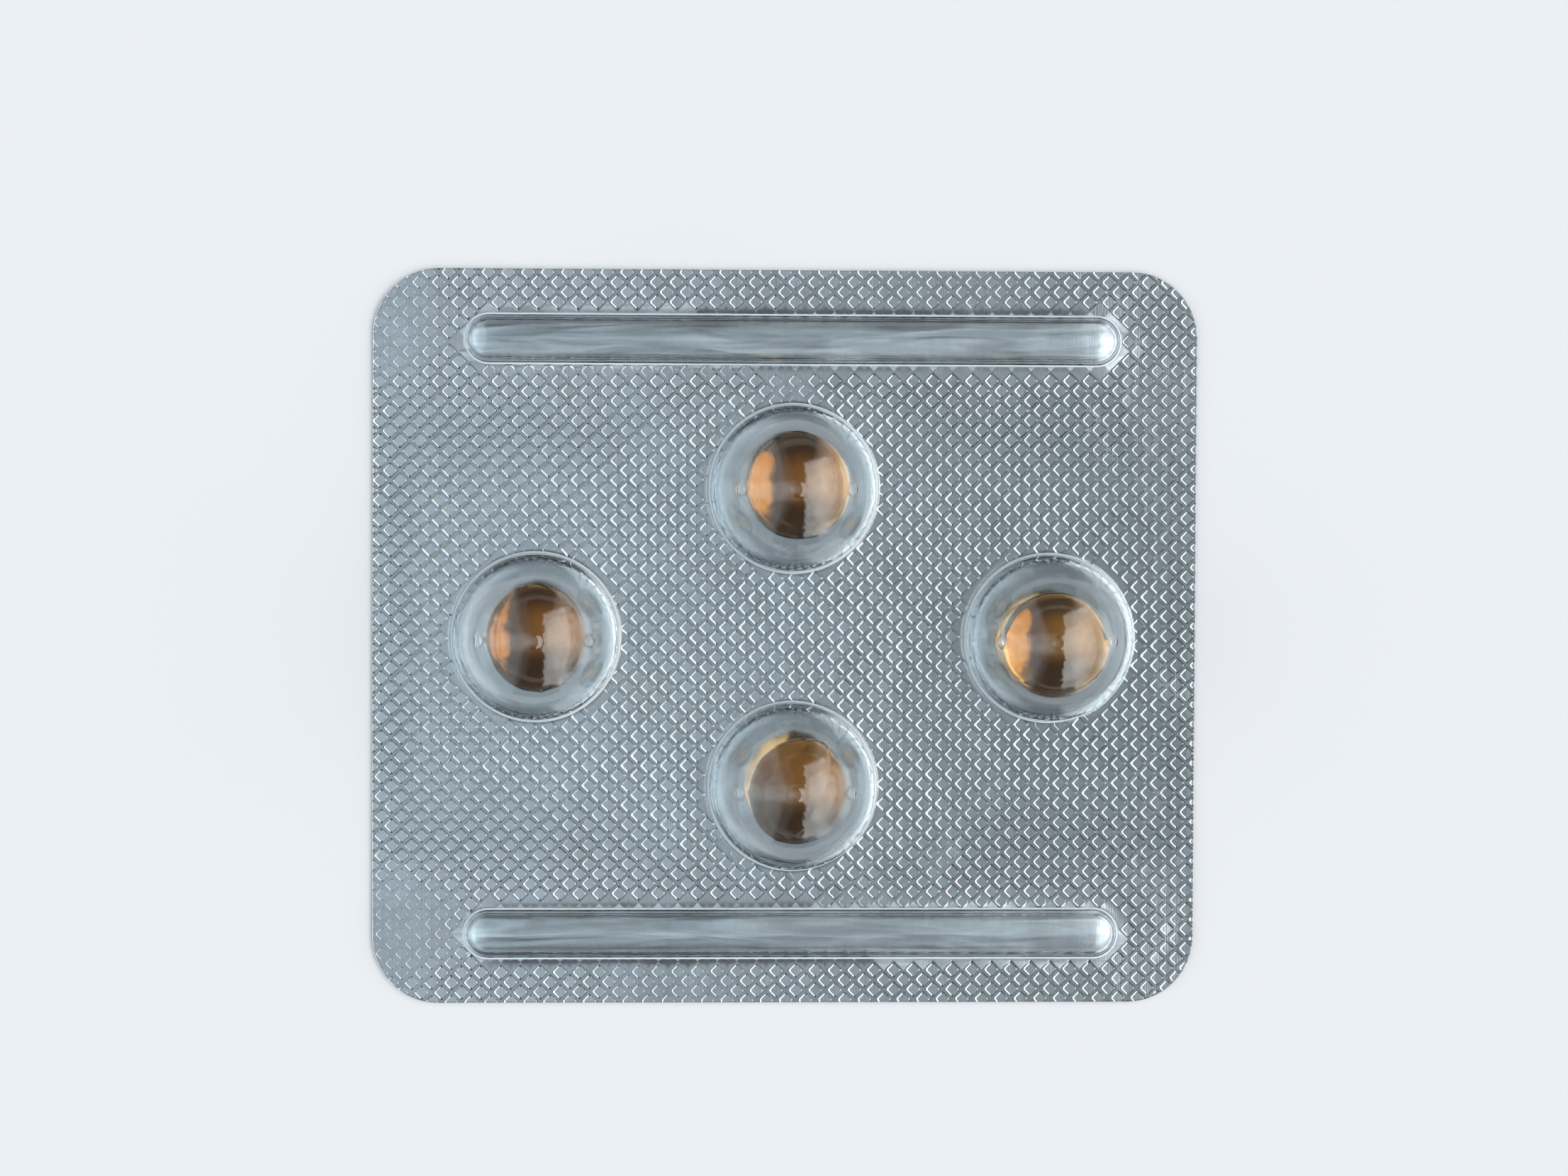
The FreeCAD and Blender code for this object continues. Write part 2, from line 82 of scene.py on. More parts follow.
def add_node(tree: bpy.types.NodeTree, kind: str, settings: dict[str | int, object] | None = None,
             links: dict[str | int, bpy.types.NodeSocket] | None = None) -> bpy.types.Node:
    """Add one node with its settings and links.

    Args:
        tree: node tree to add to.
        kind: the node's type name.
        settings: socket values under the sockets' names or numbers, and properties under
            their names with a leading dot.
        links: output sockets under the names or numbers of the inputs they feed.

    Returns:
        The new node.
    """
    node = tree.nodes.new(kind)
    for name, value in (settings or {}).items():
        if isinstance(name, str) and name.startswith("."):
            setattr(node, name[1:], value)
        else:
            node.inputs[name].default_value = value
    for name, socket in (links or {}).items():
        tree.links.new(socket, node.inputs[name])
    return node


def new_material(name: str) -> tuple[bpy.types.Material, bpy.types.NodeTree]:
    """Make an empty node material.

    Args:
        name: the real material's name.

    Returns:
        The material and its node tree.
    """
    material = bpy.data.materials.new(name)
    material.use_nodes = True
    material.node_tree.nodes.clear()
    return material, material.node_tree


def finish_material(material: bpy.types.Material, shader: bpy.types.Node) -> bpy.types.Material:
    """Link a shader to the material's output and return the material."""
    add_node(material.node_tree, "ShaderNodeOutputMaterial", links={"Surface": shader.outputs[0]})
    return material


def add_piece(name: str, mesh: bpy.types.Mesh) -> bpy.types.Object:
    """Put a mesh in the scene under some name.

    Args:
        name: the piece's name.
        mesh: its mesh.

    Returns:
        The piece.
    """
    piece = bpy.data.objects.new(name, mesh)
    bpy.context.scene.collection.objects.link(piece)
    return piece


def log_piece(piece: bpy.types.Object) -> None:
    """Report a piece's name and how many triangles it has."""
    log.info("%s: %d triangles", piece.name, sum(len(p.vertices) - 2 for p in piece.data.polygons))


def smooth(low: float, high: float, value: float) -> float:
    """Ease from 0 to 1 as value goes from low to high."""
    share = min(max((value - low) / (high - low), 0.0), 1.0)
    return share * share * (3 - 2 * share)


@dataclass(frozen=True)
class Ramp:
    """A rise from one level to another as some value goes from start to end."""

    start: float
    end: float
    low: float = 0.0
    high: float = 1.0
    eased: bool = True

    def settings(self) -> dict[str | int, object]:
        """Return the ramp as the settings of a map range node."""
        return {"From Min": self.start, "From Max": self.end, "To Min": self.low, "To Max": self.high,
                ".interpolation_type": "SMOOTHSTEP" if self.eased else "LINEAR"}


# ---------------------------------------------------------------- sizes


class Spot(Enum):
    """Where a pocket stands, seen from the middle of the forming."""

    TOP = "top"
    LEFT = "left"
    RIGHT = "right"
    BOTTOM = "bottom"


# Each softgel's lean off the vertical and the bearing that it leans to, in degrees.
LEANS = {Spot.TOP: (30, 195), Spot.LEFT: (52, 180), Spot.RIGHT: (30, 100), Spot.BOTTOM: (70, 153)}


@dataclass(frozen=True)
class Plan:
    """Sizes that the film and the foil share."""

    corner_radius: float = 4.8
    array_shift: float = 0.5
    pocket_mouth: float = 6.30
    pocket_reach_x: float = 18.7
    pocket_reach_y: float = 10.85
    rib_mouth: float = 2.0
    rib_reach: float = 21.65
    rib_straight: float = 44.2
    foil_gauge: float = 0.03
    film_top: float = 0.28
    drawn_gauge: float = 0.20

    def half_sizes(self) -> tuple[float, float]:
        """Read the die cut's half sizes from the frame."""
        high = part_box("lidding_foil")[1]
        return high.x / MM, high.y / MM

    def pocket_axis(self, spot: Spot) -> tuple[float, float]:
        """Work out where a pocket's axis stands.

        Args:
            spot: the pocket.

        Returns:
            Its place across and along the card.
        """
        reach = {Spot.TOP: (0, self.pocket_reach_y), Spot.BOTTOM: (0, -self.pocket_reach_y),
                 Spot.LEFT: (-self.pocket_reach_x, 0), Spot.RIGHT: (self.pocket_reach_x, 0)}[spot]
        return self.array_shift + reach[0], reach[1]

    def clear_of_pockets(self, x: float, y: float) -> float:
        """Return how far a point lies outside the nearest pocket's mouth."""
        return min(math.dist((x, y), self.pocket_axis(spot)) for spot in Spot) - self.pocket_mouth

    def clear_of_ribs(self, x: float, y: float) -> float:
        """Return how far a point lies outside the nearest rib's mouth."""
        along = max(abs(x - self.array_shift) - self.rib_straight / 2, 0.0)
        return math.hypot(along, abs(y) - self.rib_reach) - self.rib_mouth


# ---------------------------------------------------------------- finishes


@dataclass(frozen=True)
class RolledFoil:
    """Hard-temper aluminium foil, rolled bright, with its rolling lines along Y.

    The foil's meshes carry two values a face: tone goes from the land's colour to the
    floors', and bare says how slack the foil is, and so how much painted sheen it gets.
    """

    # To the eye: a cool bright grey that mirrors the room softly and is drawn out by the
    # rolling lines. Where it lies slack under the ribs it is matter and creased, and a painted
    # sheen on the crests of its wrinkles makes it paler.
    land: str = "#B4B9C1"
    floor: str = "#CCD1D6"
    roughness: float = 0.13
    slack_roughness: float = 0.27
    # Real rolling lines are some 0.01 mm apart, so they are drawn coarser, to show.
    line_size: tuple[float, float, float] = (0.11111, 4.5455, 1.0)
    line_shade: Ramp = Ramp(0.3, 0.7, 0.95, 1.0, eased=False)
    line_depth: float = 0.02
    line_strength: float = 0.16
    wave_size: float = 6.25
    wave_depth: float = 0.2
    wave_strength: float = 0.5
    # Wrinkles of slack foil run along the ribs, and don't change with height.
    wrinkle_size: tuple[float, float, float] = (9.0909, 1.3333, 1000.0)
    wrinkle_bend: float = 0.6
    # Painted sheen: the wrinkles' crests get a lighter colour, up to half as bright again.
    wrinkle_sheen: Ramp = Ramp(0.36, 0.64, 0.98, 1.50, eased=False)
    wrinkle_depth: float = 0.11

    def make(self) -> bpy.types.Material:
        """Build the node material.

        Returns:
            The material.
        """
        material, tree = new_material("hard_temper_aluminium_foil")
        place = add_node(tree, "ShaderNodeTexCoord").outputs["Object"]
        tone, bare = (add_node(tree, "ShaderNodeAttribute", {".attribute_name": name}).outputs["Fac"]
                      for name in ("tone", "bare"))
        patterns = []
        for size, octaves, bend in ((self.line_size, 3.0, 0.0), (self.wrinkle_size, 2.0, self.wrinkle_bend)):
            stretch = add_node(tree, "ShaderNodeMapping", {"Scale": [repeats(way) for way in size]},
                               {"Vector": place})
            pattern = add_node(tree, "ShaderNodeTexNoise",
                               {"Scale": 1.0, "Detail": octaves, "Distortion": bend},
                               {"Vector": stretch.outputs[0]})
            patterns.append(pattern.outputs[0])
        lines, wrinkles = patterns
        waves = add_node(tree, "ShaderNodeTexNoise", {"Scale": repeats(self.wave_size), "Detail": 2.0},
                         {"Vector": place})
        colour = add_node(tree, "ShaderNodeMix", {".data_type": "RGBA", 6: linear(self.land),
                                                  7: linear(self.floor)}, {0: tone})
        line_shade = add_node(tree, "ShaderNodeMapRange", self.line_shade.settings(), {0: lines})
        lined = add_node(tree, "ShaderNodeMix",
                         {".data_type": "RGBA", ".blend_type": "MULTIPLY", 0: 1.0},
                         {6: colour.outputs[2], 7: line_shade.outputs[0]})
        # Painted sheen: the base colour is lightened along the wrinkles' crests where the foil is slack.
        wrinkle_sheen = add_node(tree, "ShaderNodeMapRange", self.wrinkle_sheen.settings(), {0: wrinkles})
        wrinkle_lit = add_node(tree, "ShaderNodeMix", {".data_type": "RGBA", ".blend_type": "MULTIPLY"},
                            {0: bare, 6: lined.outputs[2], 7: wrinkle_sheen.outputs[0]})
        loose = add_node(tree, "ShaderNodeBump", {"Distance": self.wrinkle_depth * MM},
                         {"Strength": bare, "Height": wrinkles})
        fine = add_node(tree, "ShaderNodeBump",
                        {"Strength": self.line_strength, "Distance": self.line_depth * MM},
                        {"Height": lines, "Normal": loose.outputs[0]})
        broad = add_node(tree, "ShaderNodeBump",
                         {"Strength": self.wave_strength, "Distance": self.wave_depth * MM},
                         {"Height": waves.outputs[0], "Normal": fine.outputs[0]})
        matt = add_node(tree, "ShaderNodeMapRange",
                        {"To Min": self.roughness, "To Max": self.slack_roughness}, {0: bare})
        shader = add_node(tree, "ShaderNodeBsdfPrincipled", {"Metallic": 1.0},
                          {"Base Color": wrinkle_lit.outputs[2], "Roughness": matt.outputs[0],
                           "Normal": broad.outputs[0]})
        return finish_material(material, shader)


@dataclass(frozen=True)
class ClearFinish:
    """A see-through finish with fine ripples and, in some, faint clouds of a second colour.

    Where thin and thick are one colour, it is set on the shader itself. Where the ripples
    have no strength, the surface is left smooth.
    """

    name: str
    thin: str
    thick: str
    roughness: float
    refraction: float
    clearness: float
    ripple_size: float
    octaves: float
    ripple_depth: float
    ripple_strength: float
    cloud: Ramp = Ramp(0.35, 0.65, eased=False)

    def make(self) -> bpy.types.Material:
        """Build the node material.

        Returns:
            The material.
        """
        material, tree = new_material(self.name)
        place = add_node(tree, "ShaderNodeTexCoord")
        ripples = add_node(tree, "ShaderNodeTexNoise",
                           {"Scale": repeats(self.ripple_size), "Detail": self.octaves},
                           {"Vector": place.outputs["Object"]})
        links = {}
        if self.thick != self.thin:
            share = add_node(tree, "ShaderNodeMapRange", self.cloud.settings(), {0: ripples.outputs[0]})
            colour = add_node(tree, "ShaderNodeMix", {".data_type": "RGBA", 6: linear(self.thin),
                                                      7: linear(self.thick)}, {0: share.outputs[0]})
            links["Base Color"] = colour.outputs[2]
        if self.ripple_strength:
            bump = add_node(tree, "ShaderNodeBump",
                            {"Strength": self.ripple_strength, "Distance": self.ripple_depth * MM},
                            {"Height": ripples.outputs[0]})
            links["Normal"] = bump.outputs[0]
        shader = add_node(tree, "ShaderNodeBsdfPrincipled",
                          {"Base Color": linear(self.thin), "Roughness": self.roughness,
                           "IOR": self.refraction, "Transmission Weight": self.clearness}, links)
        return finish_material(material, shader)


@dataclass(frozen=True)
class RigidFilm(ClearFinish):
    """Rigid PVC film, calendered and thermoformed."""

    # To the eye: hard, clear and glossy, with a breath of cool tint, and a little wavy.
    name: str = "rigid_pvc_film"
    thin: str = "#F7FBFB"
    thick: str = "#F7FBFB"
    roughness: float = 0.02
    refraction: float = 1.53
    clearness: float = 1.0
    ripple_size: float = 2.857
    octaves: float = 2.0
    ripple_depth: float = 0.08
    ripple_strength: float = 0.5


@dataclass(frozen=True)
class PaintedHighlightFilm(ClearFinish):
    """The same PVC where it was bent hardest, at the foot of each pocket and rib, painted milky
    white as a highlight ring.
    """

    # To the eye: a thin milky ring, a painted highlight of the light that the bend catches.
    # Its grain is drawn coarser than real crazing, which is finer than 0.001 mm, to show.
    name: str = "rigid_pvc_film_painted_highlight"
    thin: str = "#F3FAFF"
    thick: str = "#F3FAFF"
    roughness: float = 0.4
    refraction: float = 1.53
    clearness: float = 0.25
    ripple_size: float = 0.4545
    octaves: float = 2.0
    ripple_depth: float = 0.03
    ripple_strength: float = 0.3


@dataclass(frozen=True)
class Gelatin(ClearFinish):
    """Plasticised gelatin, welded round its oil and dried in a tumbler."""

    # To the eye: glossy clear amber, whose reflections waver over the tumbler's ripple.
    name: str = "amber_gelatin"
    thin: str = "#F9E1B8"
    thick: str = "#F5D7A6"
    roughness: float = 0.03
    refraction: float = 1.50
    clearness: float = 1.0
    ripple_size: float = 1.923
    octaves: float = 2.0
    ripple_depth: float = 0.04
    ripple_strength: float = 0.4


@dataclass(frozen=True)
class Oil(ClearFinish):
    """Clear oil that wets the gelatin, so that its IOR is the oil's over the gelatin's."""

    # To the eye: a depth of amber, a little uneven, that hardly mirrors anything.
    name: str = "amber_oil"
    thin: str = "#F8DFB4"
    thick: str = "#F2D3A0"
    roughness: float = 0.02
    refraction: float = 1.03
    clearness: float = 1.0
    ripple_size: float = 3.846
    octaves: float = 3.0
    ripple_depth: float = 0.0
    ripple_strength: float = 0.0


@dataclass(frozen=True)
class StudioPaper:
    """Uncoated white paper under the card."""

    # To the eye: even and matt, with a grain that is only just there.
    colour: str = "#E4E2E3"
    roughness: float = 0.8
    gloss: float = 0.2
    fibre_size: float = 0.4
    fibre_depth: float = 0.02
    fibre_strength: float = 0.25

    def make(self) -> bpy.types.Material:
        """Build the node material.

        Returns:
            The material.
        """
        material, tree = new_material("studio_paper")
        place = add_node(tree, "ShaderNodeTexCoord")
        fibres = add_node(tree, "ShaderNodeTexNoise", {"Scale": repeats(self.fibre_size), "Detail": 3.0},
                          {"Vector": place.outputs["Object"]})
        bump = add_node(tree, "ShaderNodeBump",
                        {"Strength": self.fibre_strength, "Distance": self.fibre_depth * MM},
                        {"Height": fibres.outputs[0]})
        shader = add_node(tree, "ShaderNodeBsdfPrincipled",
                          {"Base Color": linear(self.colour), "Roughness": self.roughness,
                           "Specular IOR Level": self.gloss}, {"Normal": bump.outputs[0]})
        return finish_material(material, shader)


# ---------------------------------------------------------------- formed film


@dataclass(frozen=True)
class Station:
    """One point of a form's half section: distance from its spine, height and normal."""

    away: float
    height: float
    normal: tuple[float, float]


@dataclass(frozen=True)
class Form:
    """A drawn shape: flare, drafted wall and round crown, about a spine of some length.

    Angles are in degrees. Root is how much tighter the film's inner bend is than its outer
    one would make it, and collar is the flat film round the mouth.
    """

    middle: tuple[float, float]
    mouth: float
    flare: float
    draft: float
    crown: float
    straight: float = 0.0
    vents: bool = False
    root: float = 0.0
    collar: float = 0.18
    # The small bumps that the mould's vents leave in a pocket, in a row over its dome: a
    # bump fades between two shares of its radius, and dome gives the dome's radius as a
    # share of the crown's height.
    vent_radius: float = 0.50
    vent_rise: float = 0.07
    vent_angle: float = 43.0
    vent_fade: tuple[float, float] = (0.62, 1.16)
    dome: float = 0.727
    # How finely the shape is divided: closer together over the vents' bumps, which lie
    # within some angles of the crown, of the outer vents and of their row.
    flare_steps: int = 8
    wall_shares: tuple[float, ...] = (0.04, 0.35, 0.65, 0.96)
    end_steps: int = 24
    run_step: float = 0.6
    crown_band: float = 7.5
    vent_band: float = 7.0
    row_band: float = 9.0
    vent_step: float = 0.8
    pocket_step: float = 3.0
    rib_step: float = 5.0
    row_spoke: float = 1.5
    plain_spoke: float = 3.6

    def inside(self, plan: Plan) -> "Form":
        """Return the same form as the film's inner face has it."""
        return replace(self, mouth=self.mouth - self.root, crown=self.crown - plan.drawn_gauge,
                       flare=self.flare + plan.drawn_gauge - self.root, root=0.0)

    def section(self, shelf: float) -> list[Station]:
        """Work out the half section, from the flat film in to the crown.

        Args:
            shelf: height of the flat film's face.

        Returns:
            The stations, the crown last.
        """
        draft = math.radians(self.draft)
        sine, cosine = math.sin(draft), math.cos(draft)
        stations = [Station(self.mouth + self.collar, shelf, (0, 1))]
        for step in range(self.flare_steps + 1):
            angle = (math.pi / 2 - draft) * step / self.flare_steps
            away = self.mouth - self.flare * math.sin(angle)
            height = shelf + self.flare * (1 - math.cos(angle))
            stations.append(Station(away, height, (math.sin(angle), math.cos(angle))))
        foot = stations[-1]
        rise = self.crown - foot.height
        radius = (foot.away * cosine - rise * sine) / (1 - sine)
        top = Station(radius * cosine, self.crown - radius * (1 - sine), (cosine, sine))
        for share in self.wall_shares:
            away = foot.away + (top.away - foot.away) * share
            height = foot.height + (top.height - foot.height) * share
            stations.append(Station(away, height, (cosine, sine)))
        for step in self.dome_steps():
            angle = math.radians(step)
            if angle <= math.pi / 2 - draft:
                place = (radius * math.sin(angle), self.crown - radius * (1 - math.cos(angle)))
                stations.append(Station(*place, (math.sin(angle), math.cos(angle))))
        return stations

    def dome_steps(self) -> list[float]:
        """Work out the angles that divide the dome.

        Returns:
            Degrees from the crown, falling to 0.
        """
        steps, angle = [], 0.0
        plain = self.pocket_step if self.vents else self.rib_step
        while angle < 89.0:
            steps.append(angle)
            near = angle < self.crown_band or abs(angle - self.vent_angle) < self.vent_band
            angle += self.vent_step if near and self.vents else plain
        return steps[::-1]

    def spokes(self) -> list[tuple[float, float]]:
        """Work out the places round the form.

        Returns:
            The offset along the spine and the bearing of each, anticlockwise.
        """
        places = []
        half, count = self.straight / 2, self.end_steps
        if half:
            runs = int(self.straight / self.run_step)
            places += [(half, math.pi * (k / count - 0.5)) for k in range(count)]
            places += [(half - self.straight * k / runs, math.pi / 2) for k in range(runs)]
            places += [(-half, math.pi * (k / count + 0.5)) for k in range(count)]
            places += [(-half + self.straight * k / runs, -math.pi / 2) for k in range(runs)]
            return places
        angle = 0.0
        while angle < 358.9:
            places.append((0.0, math.radians(angle)))
            beside = min(angle % 180, 180 - angle % 180)
            angle += self.row_spoke if beside < self.row_band and self.vents else self.plain_spoke
        return places

    def vent_height(self, bearing: float, station: Station) -> float:
        """Work out how far the vents' bumps lift a point of the dome.

        Args:
            bearing: the point's bearing from the form's axis, in radians.
            station: the point of the section.

        Returns:
            The lift along the normal.
        """
        out, up = station.normal
        if not self.vents or up < 0.5:
            return 0.0
        here = Vector((out * math.cos(bearing), out * math.sin(bearing), up))
        lift = 0.0
        for lean in (-self.vent_angle, 0.0, self.vent_angle):
            axis = Vector((math.sin(math.radians(lean)), 0, math.cos(math.radians(lean))))
            apart = math.acos(min(here.dot(axis), 1.0)) * (self.crown * self.dome)
            lift += self.vent_rise * (1 - smooth(*self.vent_fade, apart / self.vent_radius))
        return lift


@dataclass
class FormingFilm:
    """The clear film: flat flange, four pockets and two ribs, one even skin."""

    plan: Plan
    pocket_flare: float = 0.20
    pocket_draft: float = 5.0
    pocket_crown: float = 8.44
    rib_flare: float = 0.40
    rib_draft: float = 12.0
    rib_crown: float = 2.0615
    rib_root: float = 0.12
    edge_round: float = 0.05
    edge_steps: int = 4
    corner_steps: int = 16
    # Film ripples as it is drawn, fully from some height over the flange, in two sizes:
    # these are the larger one's height and how many of each there are in a millimetre.
    ripple: float = 0.007
    ripple_start: tuple[float, float] = (0.4, 1.2)
    ripple_rates: tuple[float, float] = (0.55, 1.7)
    # The first and last row of faces painted milky white as a highlight ring, counted in from the flange.
    pocket_highlight_rows: tuple[int, int] = (3, 8)
    rib_highlight_rows: tuple[int, int] = (3, 4)
    # In metres: how close points are that count as one, and as lying on a line.
    weld: float = 1e-7
    touch: float = 1e-6
    half_x: float = field(init=False)
    half_y: float = field(init=False)

    def __post_init__(self) -> None:
        """Take the die cut's half sizes."""
        self.half_x, self.half_y = self.plan.half_sizes()

    def forms(self) -> list[Form]:
        """List every form's outer shape.

        Returns:
            The pockets, then the ribs.
        """
        pockets = [Form(self.plan.pocket_axis(spot), self.plan.pocket_mouth, self.pocket_flare,
                        self.pocket_draft, self.pocket_crown, vents=True) for spot in Spot]
        ribs = [Form((self.plan.array_shift, side * self.plan.rib_reach), self.plan.rib_mouth,
                     self.rib_flare, self.rib_draft, self.rib_crown, self.plan.rib_straight,
                     root=self.rib_root) for side in (1, -1)]
        return pockets + ribs

    def outline(self, inset: float) -> list[tuple[float, float]]:
        """Work out the die cut's outline, moved in by some distance.

        Args:
            inset: the distance.

        Returns:
            The outline's points, anticlockwise.
        """
        radius = self.plan.corner_radius
        points = []
        for number, (sx, sy) in enumerate(CORNERS):
            for step in range(self.corner_steps + 1):
                angle = math.pi / 2 * (number + step / self.corner_steps)
                points.append((sx * (self.half_x - radius) + (radius - inset) * math.cos(angle),
                               sy * (self.half_y - radius) + (radius - inset) * math.sin(angle)))
        return points

    def swell(self, spot: Vector, rise: float) -> float:
        """Work out how far drawn film ripples off its true shape.

        Args:
            spot: the point.
            rise: how far its station lies over the flange.

        Returns:
            The ripple's height there, up or down.
        """
        broad, fine = (noise.noise(spot * rate) * self.ripple for rate in self.ripple_rates)
        return smooth(*self.ripple_start, rise) * (broad + fine / 3)

    def draw(self, body: bmesh.types.BMesh, form: Form, shelf: float,
             flip: bool) -> list[bmesh.types.BMVert]:
        """Draw one face of a form.

        Args:
            body: the mesh to add to.
            form: the form, as this face has it.
            shelf: height of the flat film's face.
            flip: True for the inner face, which looks the other way and gets no painted highlight ring.

        Returns:
            The outermost ring of vertices.
        """
        spokes = form.spokes()
        rings = []
        for station in form.section(shelf):
            ring = []
            for along, bearing in spokes:
                lift = form.vent_height(bearing, station)
                out = station.away + station.normal[0] * lift
                spot = Vector((form.middle[0] + along + out * math.cos(bearing),
                               form.middle[1] + out * math.sin(bearing),
                               station.height + station.normal[1] * lift))
                spot.z += self.swell(spot, station.height - shelf)
                ring.append(body.verts.new(spot * MM))
            rings.append(ring)
        first, last = self.pocket_highlight_rows if form.vents else self.rib_highlight_rows
        for number, (outer, inner) in enumerate(zip(rings, rings[1:])):
            for k in range(len(outer)):
                n = (k + 1) % len(outer)
                quad = (outer[k], outer[n], inner[n], inner[k])
                face = body.faces.new(quad[::-1] if flip else quad)
                if first <= number <= last and not flip:
                    # Painted highlight: these rows take the milky white finish.
                    face.material_index = 1
        return rings[0]

    def fill(self, body: bmesh.types.BMesh, loops: list[list[bmesh.types.BMVert]], up: bool) -> None:
        """Fill the flat between the outline and the forms, with faces left flat.

        Args:
            body: the mesh to add to.
            loops: the ring of vertices of the outline and of each form.
            up: True for the upper face.
        """
        edges = []
        for loop in loops:
            edges += [body.edges.get((loop[k - 1], loop[k])) for k in range(len(loop))]
        grown = bmesh.ops.triangle_fill(body, use_beauty=True, use_dissolve=False, edges=edges,
                                        normal=(0, 0, 1 if up else -1))
        for face in grown["geom"]:
            if isinstance(face, bmesh.types.BMFace):
                face.normal_update()
                if (face.normal.z > 0) != up:
                    face.normal_flip()
                face.smooth = False

    def rim(self, body: bmesh.types.BMesh) -> list[list[bmesh.types.BMVert]]:
        """Build the die cut's edge, rounded at the top.

        Args:
            body: the mesh to add to.

        Returns:
            Its rings of vertices, the upper face's first and the lower face's last.
        """
        top, low = self.plan.film_top, self.plan.foil_gauge
        levels = [(self.edge_round * 2, top)]
        for step in range(self.edge_steps + 1):
            angle = math.pi / 2 * step / self.edge_steps
            levels.append((self.edge_round * (1 - math.sin(angle)),
                           top - self.edge_round * (1 - math.cos(angle))))
        levels.append((0.0, low))
        rings = [[body.verts.new((x * MM, y * MM, height * MM)) for x, y in self.outline(inset)]
                 for inset, height in levels]
        for outer, inner in zip(rings[1:], rings):
            for k in range(len(outer)):
                n = (k + 1) % len(outer)
                body.faces.new((outer[k], outer[n], inner[n], inner[k]))
        return rings

    def build(self) -> bpy.types.Object:
        """Build the film as one closed skin.

        Returns:
            The film.
        """
        body = bmesh.new()
        over, under = [], []
        for form in self.forms():
            over.append(self.draw(body, form, self.plan.film_top, flip=False))
            under.append(self.draw(body, form.inside(self.plan), self.plan.foil_gauge, flip=True))
        rings = self.rim(body)
        for face in body.faces:
            face.smooth = True
        self.fill(body, [rings[0]] + over, up=True)
        self.fill(body, [rings[-1]] + under, up=False)
        bmesh.ops.remove_doubles(body, verts=body.verts[:], dist=self.weld)
        mesh = bpy.data.meshes.new("film")
        body.to_mesh(mesh)
        body.free()
        self.crease_edge(mesh)
        return add_piece("film", mesh)

    def crease_edge(self, mesh: bpy.types.Mesh) -> None:
        """Keep the lower edge of the die cut's straight sides sharp.

        Args:
            mesh: the film's mesh.
        """
        low, half_x, half_y = (size * MM for size in (self.plan.foil_gauge, self.half_x, self.half_y))
        for edge in mesh.edges:
            ends = [mesh.vertices[v].co for v in edge.vertices]
            rim = all(abs(abs(v.x) - half_x) < self.touch or abs(abs(v.y) - half_y) < self.touch
                      for v in ends)
            edge.use_edge_sharp = rim and all(abs(v.z - low) < self.touch for v in ends)

    def dress(self, piece: bpy.types.Object) -> None:
        """Give the film its finish and its painted highlight ring, and tie it to the frame.

        Args:
            piece: the film.
        """
        piece.data.materials.append(RigidFilm().make())
        # The second slot is the painted highlight ring at the foot of each form.
        piece.data.materials.append(PaintedHighlightFilm().make())
        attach(piece, "root")
        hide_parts("forming_film")


# ---------------------------------------------------------------- foil lid


class Side(Enum):
    """The two sides of the foil lid."""

    SEAL = "foil_seal_side"
    BACK = "foil_back"


@dataclass(frozen=True)
class WornPatch:
    """A place where the knurl was pressed less: its middle, reach and loss of strength."""

    x: float
    y: float
    reach: float
    loss: float


@dataclass
class FoilFace:
    """One face of the foil while it is laid out, with a tone and a bareness a face.

    Base is its height where nothing was pressed. Flat tone is the tone of bare foil.
    """

    base: float
    flat_tone: float = 0.5
    points: list[tuple[float, float, float]] = field(default_factory=list)
    faces: list[tuple[int, ...]] = field(default_factory=list)
    tones: list[float] = field(default_factory=list)
    bares: list[float] = field(default_factory=list)
    shared: dict[tuple[int, int], int] = field(default_factory=dict)

    def add_point(self, x: float, y: float, z: float) -> int:
        """Add a point and return its number."""
        self.points.append((x, y, z))
        return len(self.points) - 1

    def add_faces(self, faces: list[tuple[int, ...]], tone: float, bare: float) -> None:
        """Add faces that share a tone and a bareness.

        Args:
            faces: the numbers of each face's points.
            tone: from the land's colour, 0, to the floors', 1.
            bare: how slack the foil is there, from 0 to 1.
        """
        self.faces += faces
        self.tones += [tone] * len(faces)
        self.bares += [bare] * len(faces)

    def mesh(self) -> bpy.types.Mesh:
        """Make the mesh, smooth where the foil is bare and flat where it was pressed.

        Returns:
            The mesh.
        """
        mesh = bpy.data.meshes.new("foil")
        mesh.from_pydata([(x * MM, y * MM, z * MM) for x, y, z in self.points], [], self.faces)
        for name, values in (("tone", self.tones), ("bare", self.bares)):
            layer = mesh.attributes.new(name, "FLOAT", "FACE")
            layer.data.foreach_set("value", values)
        mesh.polygons.foreach_set("use_smooth", [tone == self.flat_tone for tone in self.tones])
        return mesh


